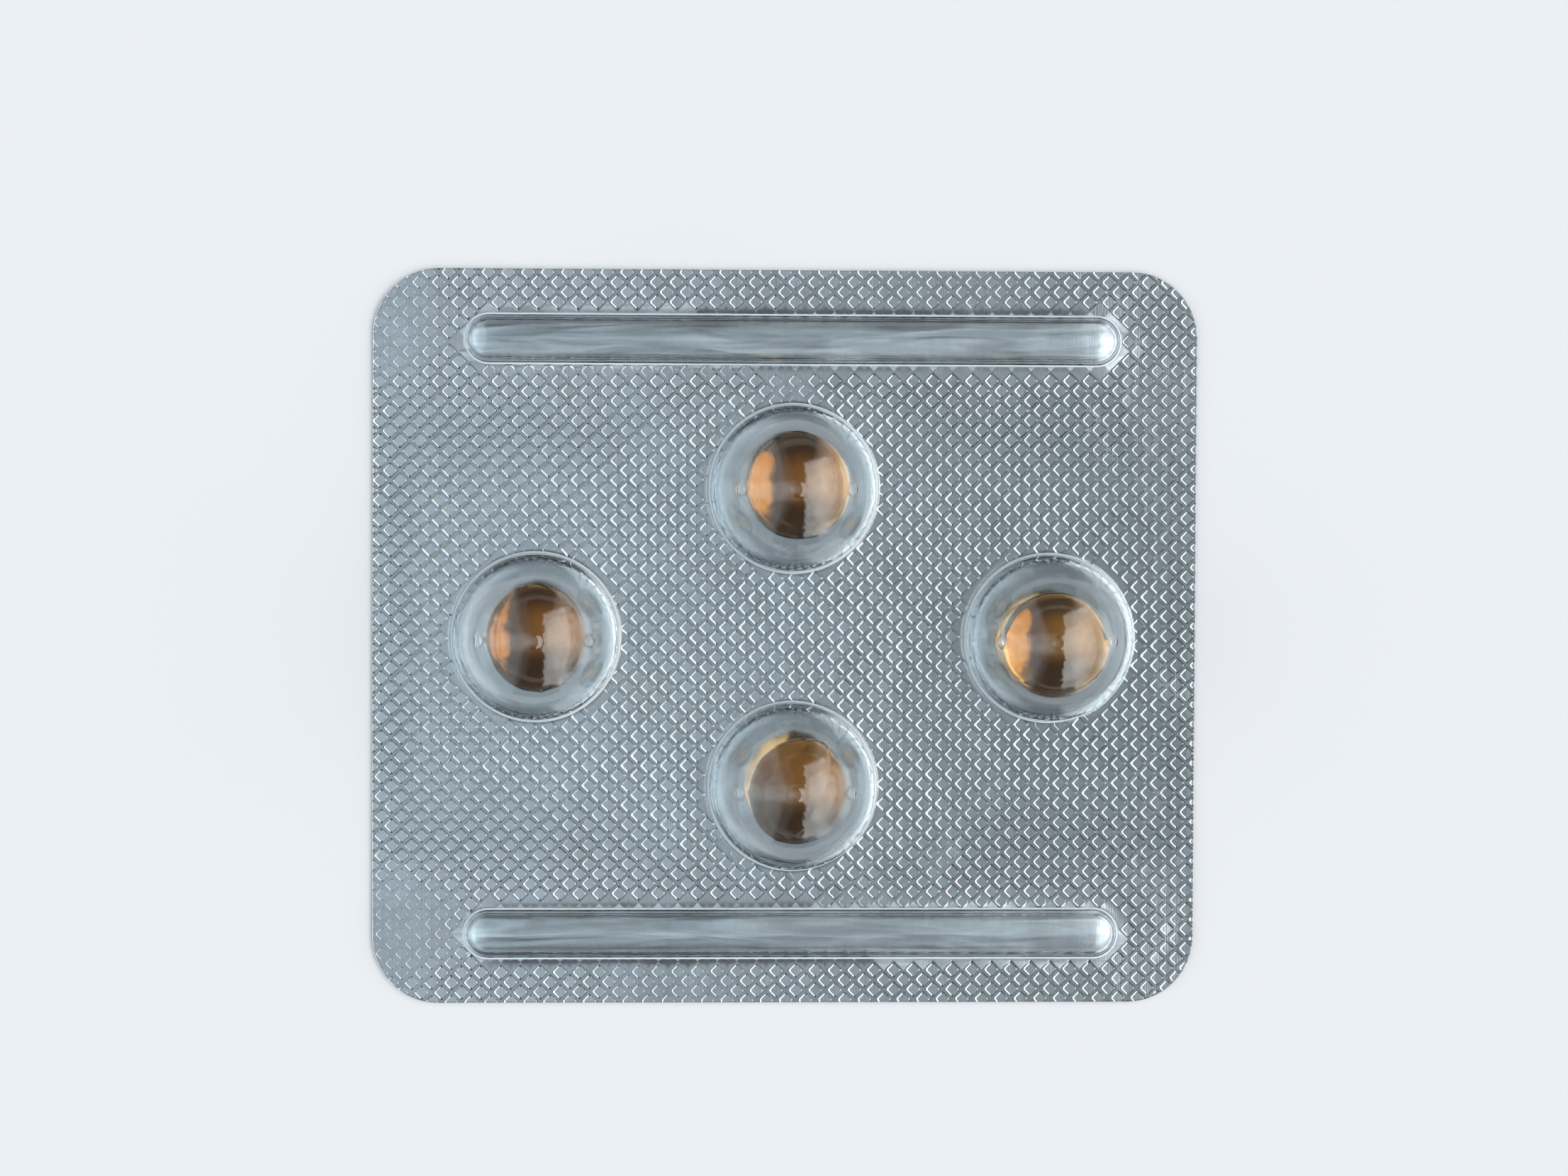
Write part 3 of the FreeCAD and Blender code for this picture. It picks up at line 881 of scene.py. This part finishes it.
@dataclass
class LiddingFoil:
    """The foil lid: one thin sheet that the heat seal has pressed into square dimples.

    Each dimple is a flat floor, a gentle rise, a short steep wall and the land that it
    shares with its neighbours. Over pockets and ribs the foil was never pressed.
    """

    plan: Plan
    pitch: float = 1.015
    turn: float = 45.3
    floor_half: float = 0.312
    rise_half: float = 0.396
    wall_half: float = 0.434
    corner_cut: float = 0.30
    rise: float = 0.0186
    wall: float = 0.022
    bond_depth: float = 0.008
    gauge: float = 0.03
    air: float = 0.004
    # Where the seal begins outside a form, over what width, and the least that counts.
    seal_margin: float = 0.02
    seal_fade: float = 0.30
    seal_least: float = 0.05
    sink: float = 2.6
    rib_relief: float = 0.22
    # The bow of slack foil under a rib: its height, how far its ends slope down and how
    # softly that begins, and how square it is across.
    bow_rise: float = 0.115
    bow_run: float = 3.15
    bow_ease: float = 0.5
    bow_square: int = 8
    # How slack the foil is under the ribs and everywhere else, and the tone of slopes.
    rib_bare: float = 1.0
    other_bare: float = 0.1
    slope_tone: float = 0.6
    # How hard the knurl was pressed: as a rule, how far that drifts and how often in a
    # millimetre, and the limits.
    press_mean: float = 0.98
    press_drift: float = 0.35
    drift_rate: float = 0.13
    press_limits: tuple[float, float] = (0.16, 1.0)
    # A worn patch fades between two shares of its reach, and its outline strays.
    patch_fade: tuple[float, float] = (0.4, 1.1)
    patch_stray: float = 1.2
    worn: tuple[WornPatch, ...] = (
        WornPatch(-28.5, 23.0, 5.0, 0.6), WornPatch(-28.5, -21.5, 6.0, 0.8),
        WornPatch(27.5, 17.0, 4.0, 0.35), WornPatch(27.5, -18.0, 3.5, 0.3),
        WornPatch(12.0, 25.8, 6.0, 0.45), WornPatch(-8.0, -25.2, 7.0, 0.4),
        WornPatch(11.5, -16.0, 1.6, 0.5), WornPatch(0.5, 18.2, 2.4, 0.6))
    # Powers by which a dimple's gentle parts and its steep ones follow the press.
    soft_power: float = 0.6
    hard_power: int = 2
    # How much of the rise the sides of a dimple get. One side, the one that looks down to
    # the right, gets less towards the card's left and strays from dimple to dimple.
    side_share: float = 0.85
    full_share: float = 1.0
    weak_share: float = 0.60
    weak_gain: float = 0.35
    weak_span: tuple[float, float] = (-26, 8)
    weak_stray: float = 0.15
    dimple_stray: float = 0.008
    dimple_tilt: float = 0.0022
    seed: int = 11
    # The lattice reaches this share of the half sizes' sum, and cells count up to this
    # many pitches outside the die cut, a little more than half a cell's diagonal.
    lattice_share: float = 0.75
    overhang: float = 0.72
    corner_steps: int = 10
    corner_margin: float = 1.5
    cut_touch: float = 1e-8
    half_x: float = field(init=False)
    half_y: float = field(init=False)
    cos: float = field(init=False)
    sin: float = field(init=False)

    def __post_init__(self) -> None:
        """Take the die cut's half sizes and the turn of the knurl."""
        self.half_x, self.half_y = self.plan.half_sizes()
        angle = math.radians(self.turn)
        self.cos, self.sin = math.cos(angle), math.sin(angle)

    def spot_of(self, u: float, v: float) -> tuple[float, float]:
        """Turn a place on the knurl's lattice into one on the card."""
        return u * self.cos - v * self.sin, u * self.sin + v * self.cos

    def seal(self, x: float, y: float) -> float:
        """Return how far the foil is sealed at a point, from 0 to 1."""
        clear = min(self.plan.clear_of_pockets(x, y), self.plan.clear_of_ribs(x, y) - self.rib_relief)
        return smooth(self.seal_margin, self.seal_margin + self.seal_fade, clear)

    def bond(self, x: float, y: float) -> float:
        """Return how far the foil keeps up with the film at a point, from 0 to 1."""
        return smooth(-self.sink, 0.0, self.plan.clear_of_pockets(x, y))

    def bow(self, x: float, y: float) -> float:
        """Work out how far the slack foil under a rib bows up, less and less to its ends.

        Args:
            x: the point's place across the card.
            y: its place along the card.

        Returns:
            The height, 0 outside the ribs.
        """
        if self.plan.clear_of_ribs(x, y) > 0:
            return 0.0
        across = (abs(y) - self.plan.rib_reach) / self.plan.rib_mouth
        left = self.plan.rib_straight / 2 + self.plan.rib_mouth - abs(x - self.plan.array_shift)
        past = left - self.bow_run
        ramp = self.bow_run + (past - math.hypot(past, self.bow_ease)) / 2
        return self.bow_rise * (1 - across ** self.bow_square) * max(ramp, 0.0) / self.bow_run

    def press(self, x: float, y: float) -> float:
        """Work out how hard the knurl was pressed at a point.

        Args:
            x: the point's place across the card.
            y: its place along the card.

        Returns:
            The strength, from 0 to 1.
        """
        drift = noise.noise(Vector((x * self.drift_rate, y * self.drift_rate, 3.0)))
        strength = self.press_mean + self.press_drift * drift
        core, rim = self.patch_fade
        for patch in self.worn:
            stray = self.patch_stray * noise.noise(Vector((x, y, 7.0)))
            apart = math.dist((x, y), (patch.x, patch.y)) + stray
            strength -= patch.loss * (1 - smooth(core * patch.reach, rim * patch.reach, apart))
        least, most = self.press_limits
        return min(max(strength, least), most)

    def land_height(self, base: float, x: float, y: float) -> float:
        """Work out the height of the land, or of the bare foil where nothing was pressed.

        Args:
            base: height of this face where nothing was pressed.
            x: the point's place across the card.
            y: its place along the card.

        Returns:
            The height.
        """
        bond = self.bond(x, y)
        high = self.bond_depth + self.rise + self.wall
        return base + bond * high - self.air * (1 - bond) + self.bow(x, y)

    def ring(self, half: float) -> list[tuple[float, float]]:
        """Work out a square ring with cut corners, on the lattice.

        Args:
            half: half its width.

        Returns:
            Its eight points, anticlockwise from its +U side.
        """
        cut = half - self.floor_half * self.corner_cut
        return [(half, cut), (cut, half), (-cut, half), (-half, cut),
                (-half, -cut), (-cut, -half), (cut, -half), (half, -cut)]

    def border(self, face: FoilFace, i: int, j: int) -> list[int]:
        """Number the points round a cell, which it shares with its neighbours.

        Args:
            face: the face that is laid out.
            i: the cell's place along U.
            j: its place along V.

        Returns:
            The eight numbers, anticlockwise from the middle of its +U side.
        """
        numbers = []
        for a, b in ((2, 1), (2, 2), (1, 2), (0, 2), (0, 1), (0, 0), (1, 0), (2, 0)):
            key = (2 * i + a, 2 * j + b)
            if key not in face.shared:
                x, y = self.spot_of(key[0] * self.pitch / 2, key[1] * self.pitch / 2)
                face.shared[key] = face.add_point(x, y, self.land_height(face.base, x, y))
            numbers.append(face.shared[key])
        return numbers

    def lay_bare(self, face: FoilFace, border: list[int], x: float, y: float) -> None:
        """Lay a cell of unpressed foil, as a fan.

        Args:
            face: the face that is laid out.
            border: the numbers of the points round the cell.
            x: the cell's middle across the card.
            y: its middle along the card.
        """
        middle = face.add_point(x, y, self.land_height(face.base, x, y))
        bare = self.rib_bare if self.plan.clear_of_ribs(x, y) < 0.0 else self.other_bare
        face.add_faces([(border[k - 1], border[k], middle) for k in range(8)], face.flat_tone, bare)

    def dimple(self, face: FoilFace, middle: tuple[float, float], press: float,
               jitter: list[float]) -> list[list[int]]:
        """Add the points of a dimple.

        Args:
            face: the face that is laid out.
            middle: the cell's middle on the lattice.
            press: how hard it was pressed, from 0 to 1.
            jitter: the cell's own random numbers, from -1 to 1.

        Returns:
            The numbers of its brim's, its ledge's and its floor's eight points.
        """
        u, v = middle
        x, y = self.spot_of(u, v)
        soft, hard = press ** self.soft_power, press ** self.hard_power
        floor_z = self.land_height(face.base, x, y) - self.rise * soft - self.wall * hard
        ledge_half = self.floor_half + (self.rise_half - self.floor_half) * soft
        brim_half = ledge_half + (self.wall_half - self.rise_half) * hard
        weak = self.weak_share + self.weak_gain * smooth(*self.weak_span, x) + self.weak_stray * jitter[7]
        shares = (self.side_share, weak, self.full_share, self.side_share)
        tilt = self.dimple_tilt * press / self.floor_half
        rings = []
        for half, lift in ((brim_half, None), (ledge_half, 1.0), (self.floor_half, 0.0)):
            ring = []
            for k, (du, dv) in enumerate(self.ring(half)):
                px, py = self.spot_of(u + du + self.dimple_stray * jitter[0],
                                      v + dv + self.dimple_stray * jitter[1])
                if lift is None:
                    height = self.land_height(face.base, px, py)
                else:
                    height = floor_z + lift * soft * self.rise * shares[((k + 1) // 2) % 4]
                    height += tilt * (jitter[2] * du + jitter[3] * dv)
                ring.append(face.add_point(px, py, height))
            rings.append(ring)
        return rings

    def lay_dimple(self, face: FoilFace, border: list[int], rings: list[list[int]],
                   press: float) -> None:
        """Lay a pressed cell: its slopes, the land round it and its floor.

        Args:
            face: the face that is laid out.
            border: the numbers of the points round the cell.
            rings: the numbers of the dimple's points, ring by ring.
            press: how hard it was pressed, from 0 to 1.
        """
        brim, ledge, floor = rings
        bare = self.other_bare * (1 - press)
        fade = face.flat_tone * press
        for outer, inner in ((brim, ledge), (ledge, floor)):
            quads = [(outer[k], outer[(k + 1) % 8], inner[(k + 1) % 8], inner[k]) for k in range(8)]
            face.add_faces(quads, self.slope_tone, bare)
        for k in range(0, 8, 2):
            first, second, third = brim[(k - 1) % 8], brim[k], brim[k + 1]
            middle, corner, after = border[k], border[k + 1], border[(k + 2) % 8]
            land = [(first, middle, second), (second, middle, corner),
                    (second, corner, third), (third, corner, after)]
            face.add_faces(land, face.flat_tone - fade, bare)
        face.add_faces([tuple(floor)], face.flat_tone + fade, bare)

    def sheet(self, drop: float) -> bpy.types.Mesh:
        """Lay out one face of the sheet, before it is clipped to the die cut.

        Args:
            drop: how far the face lies under the upper one.

        Returns:
            The face's mesh.
        """
        face = FoilFace(self.gauge - drop)
        rand = random.Random(self.seed)
        span = int((self.half_x + self.half_y) / self.pitch * self.lattice_share) + 2
        limit = self.pitch * self.overhang
        for i in range(-span, span):
            for j in range(-span, span):
                middle = ((i + 0.5) * self.pitch, (j + 0.5) * self.pitch)
                x, y = self.spot_of(*middle)
                if abs(x) > self.half_x + limit or abs(y) > self.half_y + limit:
                    continue
                jitter = [rand.uniform(-1, 1) for _ in range(8)]
                border = self.border(face, i, j)
                seal = self.seal(x, y)
                if seal < self.seal_least:
                    self.lay_bare(face, border, x, y)
                else:
                    press = seal * self.press(x, y)
                    self.lay_dimple(face, border, self.dimple(face, middle, press, jitter), press)
        return face.mesh()

    def build(self, side: Side) -> bpy.types.Object:
        """Build one side of the foil, clipped to the die cut.

        Args:
            side: the side. The seal side carries the cut edge.

        Returns:
            The side.
        """
        mesh = self.sheet(0.0 if side is Side.SEAL else self.gauge)
        body = bmesh.new()
        body.from_mesh(mesh)
        self.clip(body)
        if side is Side.BACK:
            bmesh.ops.reverse_faces(body, faces=body.faces[:])
        else:
            rim = [edge for edge in body.edges if edge.is_boundary]
            grown = bmesh.ops.extrude_edge_only(body, edges=rim)
            for item in grown["geom"]:
                if isinstance(item, bmesh.types.BMVert):
                    item.co.z -= self.gauge * MM
        body.to_mesh(mesh)
        body.free()
        return add_piece(side.value, mesh)

    def clip(self, body: bmesh.types.BMesh) -> None:
        """Cut the sheet to the die cut: four sides, then each corner in short steps.

        Args:
            body: the sheet's mesh.
        """
        cuts = [((self.half_x, 0), (1, 0)), ((-self.half_x, 0), (-1, 0)),
                ((0, self.half_y), (0, 1)), ((0, -self.half_y), (0, -1))]
        for (x, y), (nx, ny) in cuts:
            geom = body.verts[:] + body.edges[:] + body.faces[:]
            bmesh.ops.bisect_plane(body, geom=geom, plane_co=(x * MM, y * MM, 0),
                                   plane_no=(nx, ny, 0), clear_outer=True, dist=self.cut_touch)
        radius = self.plan.corner_radius
        reach = radius * math.cos(math.pi / 4 / self.corner_steps)
        for sx, sy in CORNERS:
            cx, cy = sx * (self.half_x - radius), sy * (self.half_y - radius)
            past_x, past_y = ((abs(size) - self.corner_margin) * MM for size in (cx, cy))
            for step in range(self.corner_steps):
                turn = math.pi / 2 * (step + 0.5) / self.corner_steps
                nx, ny = sx * math.cos(turn), sy * math.sin(turn)
                spot = Vector(((cx + nx * reach) * MM, (cy + ny * reach) * MM, 0))
                verts = [v for v in body.verts if sx * v.co.x > past_x and sy * v.co.y > past_y]
                near = set(verts)
                edges = [e for e in body.edges if e.verts[0] in near and e.verts[1] in near]
                faces = [f for f in body.faces if all(v in near for v in f.verts)]
                bmesh.ops.bisect_plane(body, geom=verts + edges + faces, plane_co=spot,
                                       plane_no=(nx, ny, 0), clear_outer=True, dist=self.cut_touch)

    def dress(self, piece: bpy.types.Object, finish: bpy.types.Material) -> None:
        """Give a side of the foil its finish and tie it to the frame.

        Args:
            piece: the side.
            finish: the foil's material.
        """
        piece.data.materials.append(finish)
        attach(piece, "root")
        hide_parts("lidding_foil")


# ---------------------------------------------------------------- softgels


@dataclass
class Softgel:
    """One softgel: an oval of arcs turned about the axis square to its seam."""

    spot: Spot
    lean: float
    bearing: float
    radius: float = 3.88
    pole: float = 3.58
    shoulder_inset: float = 0.46
    wall: float = 0.35
    seam_round: float = 0.30
    seam_rise: float = 0.05
    rings: int = 72
    spokes: int = 128

    def profile(self, inset: float, seam: bool) -> list[tuple[float, float]]:
        """Work out the half section from one pole to the other.

        Args:
            inset: how far it lies inside the shell's outer face.
            seam: True for the face that carries the seam's bead.

        Returns:
            The radius and height of each point.
        """
        shoulder = self.pole - self.shoulder_inset
        reach = self.radius - shoulder
        drop = (reach ** 2 - self.shoulder_inset ** 2) / (2 * self.shoulder_inset)
        wide = self.pole + drop
        turn = math.pi / 2 - math.atan2(reach, drop)
        outline = []
        for step in range(self.rings + 1):
            angle = math.pi / 2 - math.pi * step / self.rings
            if abs(angle) <= turn:
                size = shoulder - inset
                point = (reach + size * math.cos(angle), size * math.sin(angle))
            else:
                size = wide - inset
                way = 1 if angle > 0 else -1
                point = (size * math.cos(angle), size * math.sin(angle) - way * drop)
            outline.append(self.with_bead(*point) if seam else point)
        return outline

    def with_bead(self, away: float, height: float) -> tuple[float, float]:
        """Push a point of the section out to the seam's bead where the bead stands proud.

        Args:
            away: the point's radius.
            height: its height.

        Returns:
            The point's radius and height with the bead.
        """
        if abs(height) >= self.seam_round:
            return away, height
        middle = self.radius + self.seam_rise - self.seam_round
        return max(away, middle + math.sqrt(self.seam_round ** 2 - height ** 2)), height

    def turn_mesh(self, name: str, outline: list[tuple[float, float]]) -> bpy.types.Object:
        """Turn a half section into a closed mesh, leaned and seated as the frame has it.

        Args:
            name: the piece's name.
            outline: the half section, from pole to pole.

        Returns:
            The piece.
        """
        low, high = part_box(f"capsule_{self.spot.value}_fill")
        middle = (low + high) / 2
        bearing = math.radians(self.bearing)
        hinge = Vector((-math.sin(bearing), math.cos(bearing), 0))
        lean = Matrix.Rotation(math.radians(self.lean), 3, hinge)
        verts = [(0, 0, outline[0][1])]
        for away, height in outline[1:-1]:
            for spoke in range(self.spokes):
                angle = 2 * math.pi * spoke / self.spokes
                verts.append((away * math.cos(angle), away * math.sin(angle), height))
        verts.append((0, 0, outline[-1][1]))
        last = len(verts) - 1
        faces = []
        count = len(outline) - 2
        for spoke in range(self.spokes):
            after = (spoke + 1) % self.spokes
            faces.append((0, 1 + spoke, 1 + after))
            for ring in range(count - 1):
                base = 1 + ring * self.spokes
                below = base + self.spokes
                faces.append((base + spoke, below + spoke, below + after, base + after))
            base = 1 + (count - 1) * self.spokes
            faces.append((base + spoke, last, base + after))
        mesh = bpy.data.meshes.new(name)
        mesh.from_pydata([middle + lean @ (Vector(v) * MM) for v in verts], [], faces)
        mesh.polygons.foreach_set("use_smooth", [True] * len(mesh.polygons))
        return add_piece(name, mesh)

    def build(self) -> tuple[bpy.types.Object, bpy.types.Object]:
        """Build the shell and the oil in it.

        Returns:
            The shell and the oil.
        """
        name = self.spot.value
        shell = self.turn_mesh(f"softgel_{name}_shell", self.profile(0.0, seam=True))
        fill = self.turn_mesh(f"softgel_{name}_oil", self.profile(self.wall, seam=False))
        return shell, fill

    def dress(self, shell: bpy.types.Object, fill: bpy.types.Object,
              gelatin: bpy.types.Material, oil: bpy.types.Material) -> None:
        """Give the shell and the oil their finishes and tie them to the frame.

        Args:
            shell: the shell.
            fill: the oil in it.
            gelatin: the shell's material.
            oil: the oil's material.
        """
        name = self.spot.value
        for piece, material, node, slot in (
                (shell, gelatin, f"capsule_{name}_shell", "amber_gelatin"),
                (fill, oil, f"capsule_{name}_fill", "amber_oil")):
            piece.data.materials.append(material)
            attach(piece, "root")
            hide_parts(node)


# ---------------------------------------------------------------- studio


@dataclass
class Studio:
    """Paper, a soft room all round, and the camera.

    The room is laid out flat: across and along are a direction's X and Y over one plus its
    Z, so that the zenith is 0, 0 and the horizon is a circle of radius 1.
    """

    eye: tuple[float, float, float] = (-13.57, 13.64, 298.76)
    target: tuple[float, float, float] = (-0.13, 3.59, 0.0)
    roll: float = 0.25
    lens: float = 94.2
    sensor: float = 36
    # In metres: the nearest and farthest that the camera sees.
    sight: tuple[float, float] = (0.01, 50)
    paper_half: float = 4000.0
    paper_drop: float = 0.02
    overhead_level: float = 0.14
    wall_level: float = 0.72
    right_level: float = 0.56
    window_level: float = 2.1
    # The window's four edges. All are ragged, and the upper one slants.
    window_left: Ramp = Ramp(0.10, 0.13)
    window_low: Ramp = Ramp(-0.75, -0.65)
    window_high: Ramp = Ramp(0.34, 0.26)
    window_right: Ramp = Ramp(0.62, 0.40)
    window_slant: float = -0.4
    ragged_rate: float = 9.0
    ragged_size: float = 0.16
    # Walls on both sides of a grey strip that is wider away from the zenith.
    left_wall: Ramp = Ramp(-0.04, -0.16)
    right_wall: Ramp = Ramp(0.08, 0.22)
    strip_spread: float = 0.30
    # A pale patch near the zenith, with its far and near edges.
    patch: Ramp = Ramp(0.10, -0.05, 0.14, 0.74)
    patch_far: Ramp = Ramp(0.12, 0.03)
    patch_near: Ramp = Ramp(-0.18, -0.08)
    # Low light from both sides, which the walls of the pockets and ribs catch.
    low_height: Ramp = Ramp(0.80, 0.20, eased=False)
    low_width: Ramp = Ramp(0.62, 0.36)
    low_left: Ramp = Ramp(-0.22, -0.60, high=1.15)
    low_right: Ramp = Ramp(0.22, 0.60, high=1.5)
    cloud_rate: float = 3.2
    cloud_shade: Ramp = Ramp(0.3, 0.7, 0.84, 1.14, eased=False)
    cool: str = "#DDEBF3"
    warm: str = "#F6F9FA"
    warmth: Ramp = Ramp(-0.10, 0.15)

    def camera(self) -> None:
        """Set the camera nearly overhead, a little to the left and behind."""
        eye, target = Vector(self.eye), Vector(self.target)
        view = (target - eye).normalized()
        up = Vector((0, 1, 0)) - view * view.y
        up = Matrix.Rotation(math.radians(self.roll), 3, -view) @ up.normalized()
        right = view.cross(up)
        data = bpy.data.cameras.new("camera")
        data.lens = self.lens
        data.sensor_width = self.sensor
        data.sensor_fit = "HORIZONTAL"
        data.clip_start, data.clip_end = self.sight
        item = bpy.data.objects.new("camera", data)
        bpy.context.scene.collection.objects.link(item)
        turn = Matrix((right, up, -view)).transposed().to_4x4()
        item.matrix_world = Matrix.Translation(eye * MM) @ turn
        bpy.context.scene.camera = item

    def room(self) -> list[tuple[str | float | Ramp, ...]]:
        """List the steps that work out how bright the room is in a direction.

        Returns:
            For each step its result's name, a sum's name or a ramp, and the names or
            numbers that it takes. A result may take over an earlier one's name.
        """
        return [
            ("over", "ADD", "z", 1.0),
            ("over", "MAXIMUM", "over", 0.05),
            ("across", "DIVIDE", "x", "over"),
            ("along", "DIVIDE", "y", "over"),
            ("stray", "MULTIPLY_ADD", "ragged", self.ragged_size, -self.ragged_size / 2),
            ("east", "ADD", "across", "stray"),
            ("north", "ADD", "along", "stray"),
            ("slant", "MULTIPLY_ADD", "east", self.window_slant, "north"),
            ("window", self.window_left, "east"),
            ("edge", self.window_low, "north"),
            ("window", "MULTIPLY", "window", "edge"),
            ("edge", self.window_high, "slant"),
            ("window", "MULTIPLY", "window", "edge"),
            ("edge", self.window_right, "east"),
            ("window", "MULTIPLY", "window", "edge"),
            ("spread", "ABSOLUTE", "along"),
            ("spread", "MULTIPLY", "spread", self.strip_spread),
            ("left", "ADD", "across", "spread"),
            ("left", self.left_wall, "left"),
            ("right", "SUBTRACT", "across", "spread"),
            ("right", self.right_wall, "right"),
            ("total", "MULTIPLY_ADD", "left", self.wall_level, self.overhead_level),
            ("total", "MULTIPLY_ADD", "right", self.right_level, "total"),
            ("total", "MULTIPLY_ADD", "window", self.window_level, "total"),
            ("low", self.low_height, "z"),
            ("width", "ABSOLUTE", "y"),
            ("width", self.low_width, "width"),
            ("low", "MULTIPLY", "low", "width"),
            ("side", self.low_left, "x"),
            ("side", "MULTIPLY", "low", "side"),
            ("total", "ADD", "total", "side"),
            ("side", self.low_right, "x"),
            ("side", "MULTIPLY", "low", "side"),
            ("total", "ADD", "total", "side"),
            ("patch", self.patch, "across"),
            ("edge", self.patch_far, "along"),
            ("patch", "MULTIPLY", "patch", "edge"),
            ("edge", self.patch_near, "along"),
            ("patch", "MULTIPLY", "patch", "edge"),
            ("total", "ADD", "total", "patch"),
            ("shade", self.cloud_shade, "clouds"),
            ("total", "MULTIPLY", "total", "shade"),
            ("warmth", self.warmth, "across")]

    def world(self) -> None:
        """Make the room: pale walls, a bright window to the right, a grey strip overhead."""
        world = bpy.data.worlds.new("studio")
        world.use_nodes = True
        tree = world.node_tree
        tree.nodes.clear()
        place = add_node(tree, "ShaderNodeTexCoord").outputs["Generated"]
        split = add_node(tree, "ShaderNodeSeparateXYZ", links={0: place})
        found = {name: split.outputs[axis] for axis, name in enumerate("xyz")}
        for name, rate, octaves in (("ragged", self.ragged_rate, 3.0), ("clouds", self.cloud_rate, 2.0)):
            pattern = add_node(tree, "ShaderNodeTexNoise", {"Scale": rate, "Detail": octaves},
                               {"Vector": place})
            found[name] = pattern.outputs[0]
        for name, rule, *terms in self.room():
            is_ramp = isinstance(rule, Ramp)
            kind = "ShaderNodeMapRange" if is_ramp else "ShaderNodeMath"
            settings = rule.settings() if is_ramp else {".operation": rule}
            settings |= {k: term for k, term in enumerate(terms) if not isinstance(term, str)}
            links = {k: found[term] for k, term in enumerate(terms) if isinstance(term, str)}
            found[name] = add_node(tree, kind, settings, links).outputs[0]
        tint = add_node(tree, "ShaderNodeMix", {".data_type": "RGBA", 6: linear(self.cool),
                                                7: linear(self.warm)}, {0: found["warmth"]})
        back = add_node(tree, "ShaderNodeBackground", links={"Color": tint.outputs[2],
                                                             "Strength": found["total"]})
        add_node(tree, "ShaderNodeOutputWorld", links={"Surface": back.outputs[0]})
        bpy.context.scene.world = world

    def build(self) -> bpy.types.Object:
        """Build the paper, the room and the camera.

        Returns:
            The paper.
        """
        mesh = bpy.data.meshes.new("paper")
        half = self.paper_half * MM
        mesh.from_pydata([(sx * half, sy * half, 0) for sx, sy in CORNERS], [], [(0, 1, 2, 3)])
        paper = add_piece("paper", mesh)
        paper.location.z = -self.paper_drop * MM
        mesh.materials.append(StudioPaper().make())
        self.world()
        self.camera()
        view = bpy.context.scene.view_settings
        view.view_transform = "Standard"
        view.look = "None"
        return paper


def main() -> None:
    """Build, dress and report every piece in order."""
    logging.basicConfig(level=logging.INFO, format="%(name)s: %(message)s")
    plan = Plan()
    log_piece(Studio().build())
    foil = LiddingFoil(plan)
    finish = RolledFoil().make()
    for side in Side:
        sheet = foil.build(side)
        foil.dress(sheet, finish)
        log_piece(sheet)
    film = FormingFilm(plan)
    skin = film.build()
    film.dress(skin)
    log_piece(skin)
    gelatin, oil = Gelatin().make(), Oil().make()
    for spot, (lean, bearing) in LEANS.items():
        softgel = Softgel(spot, lean, bearing)
        shell, fill = softgel.build()
        softgel.dress(shell, fill, gelatin, oil)
        log_piece(shell)
        log_piece(fill)


if __name__ == "__main__":
    main()
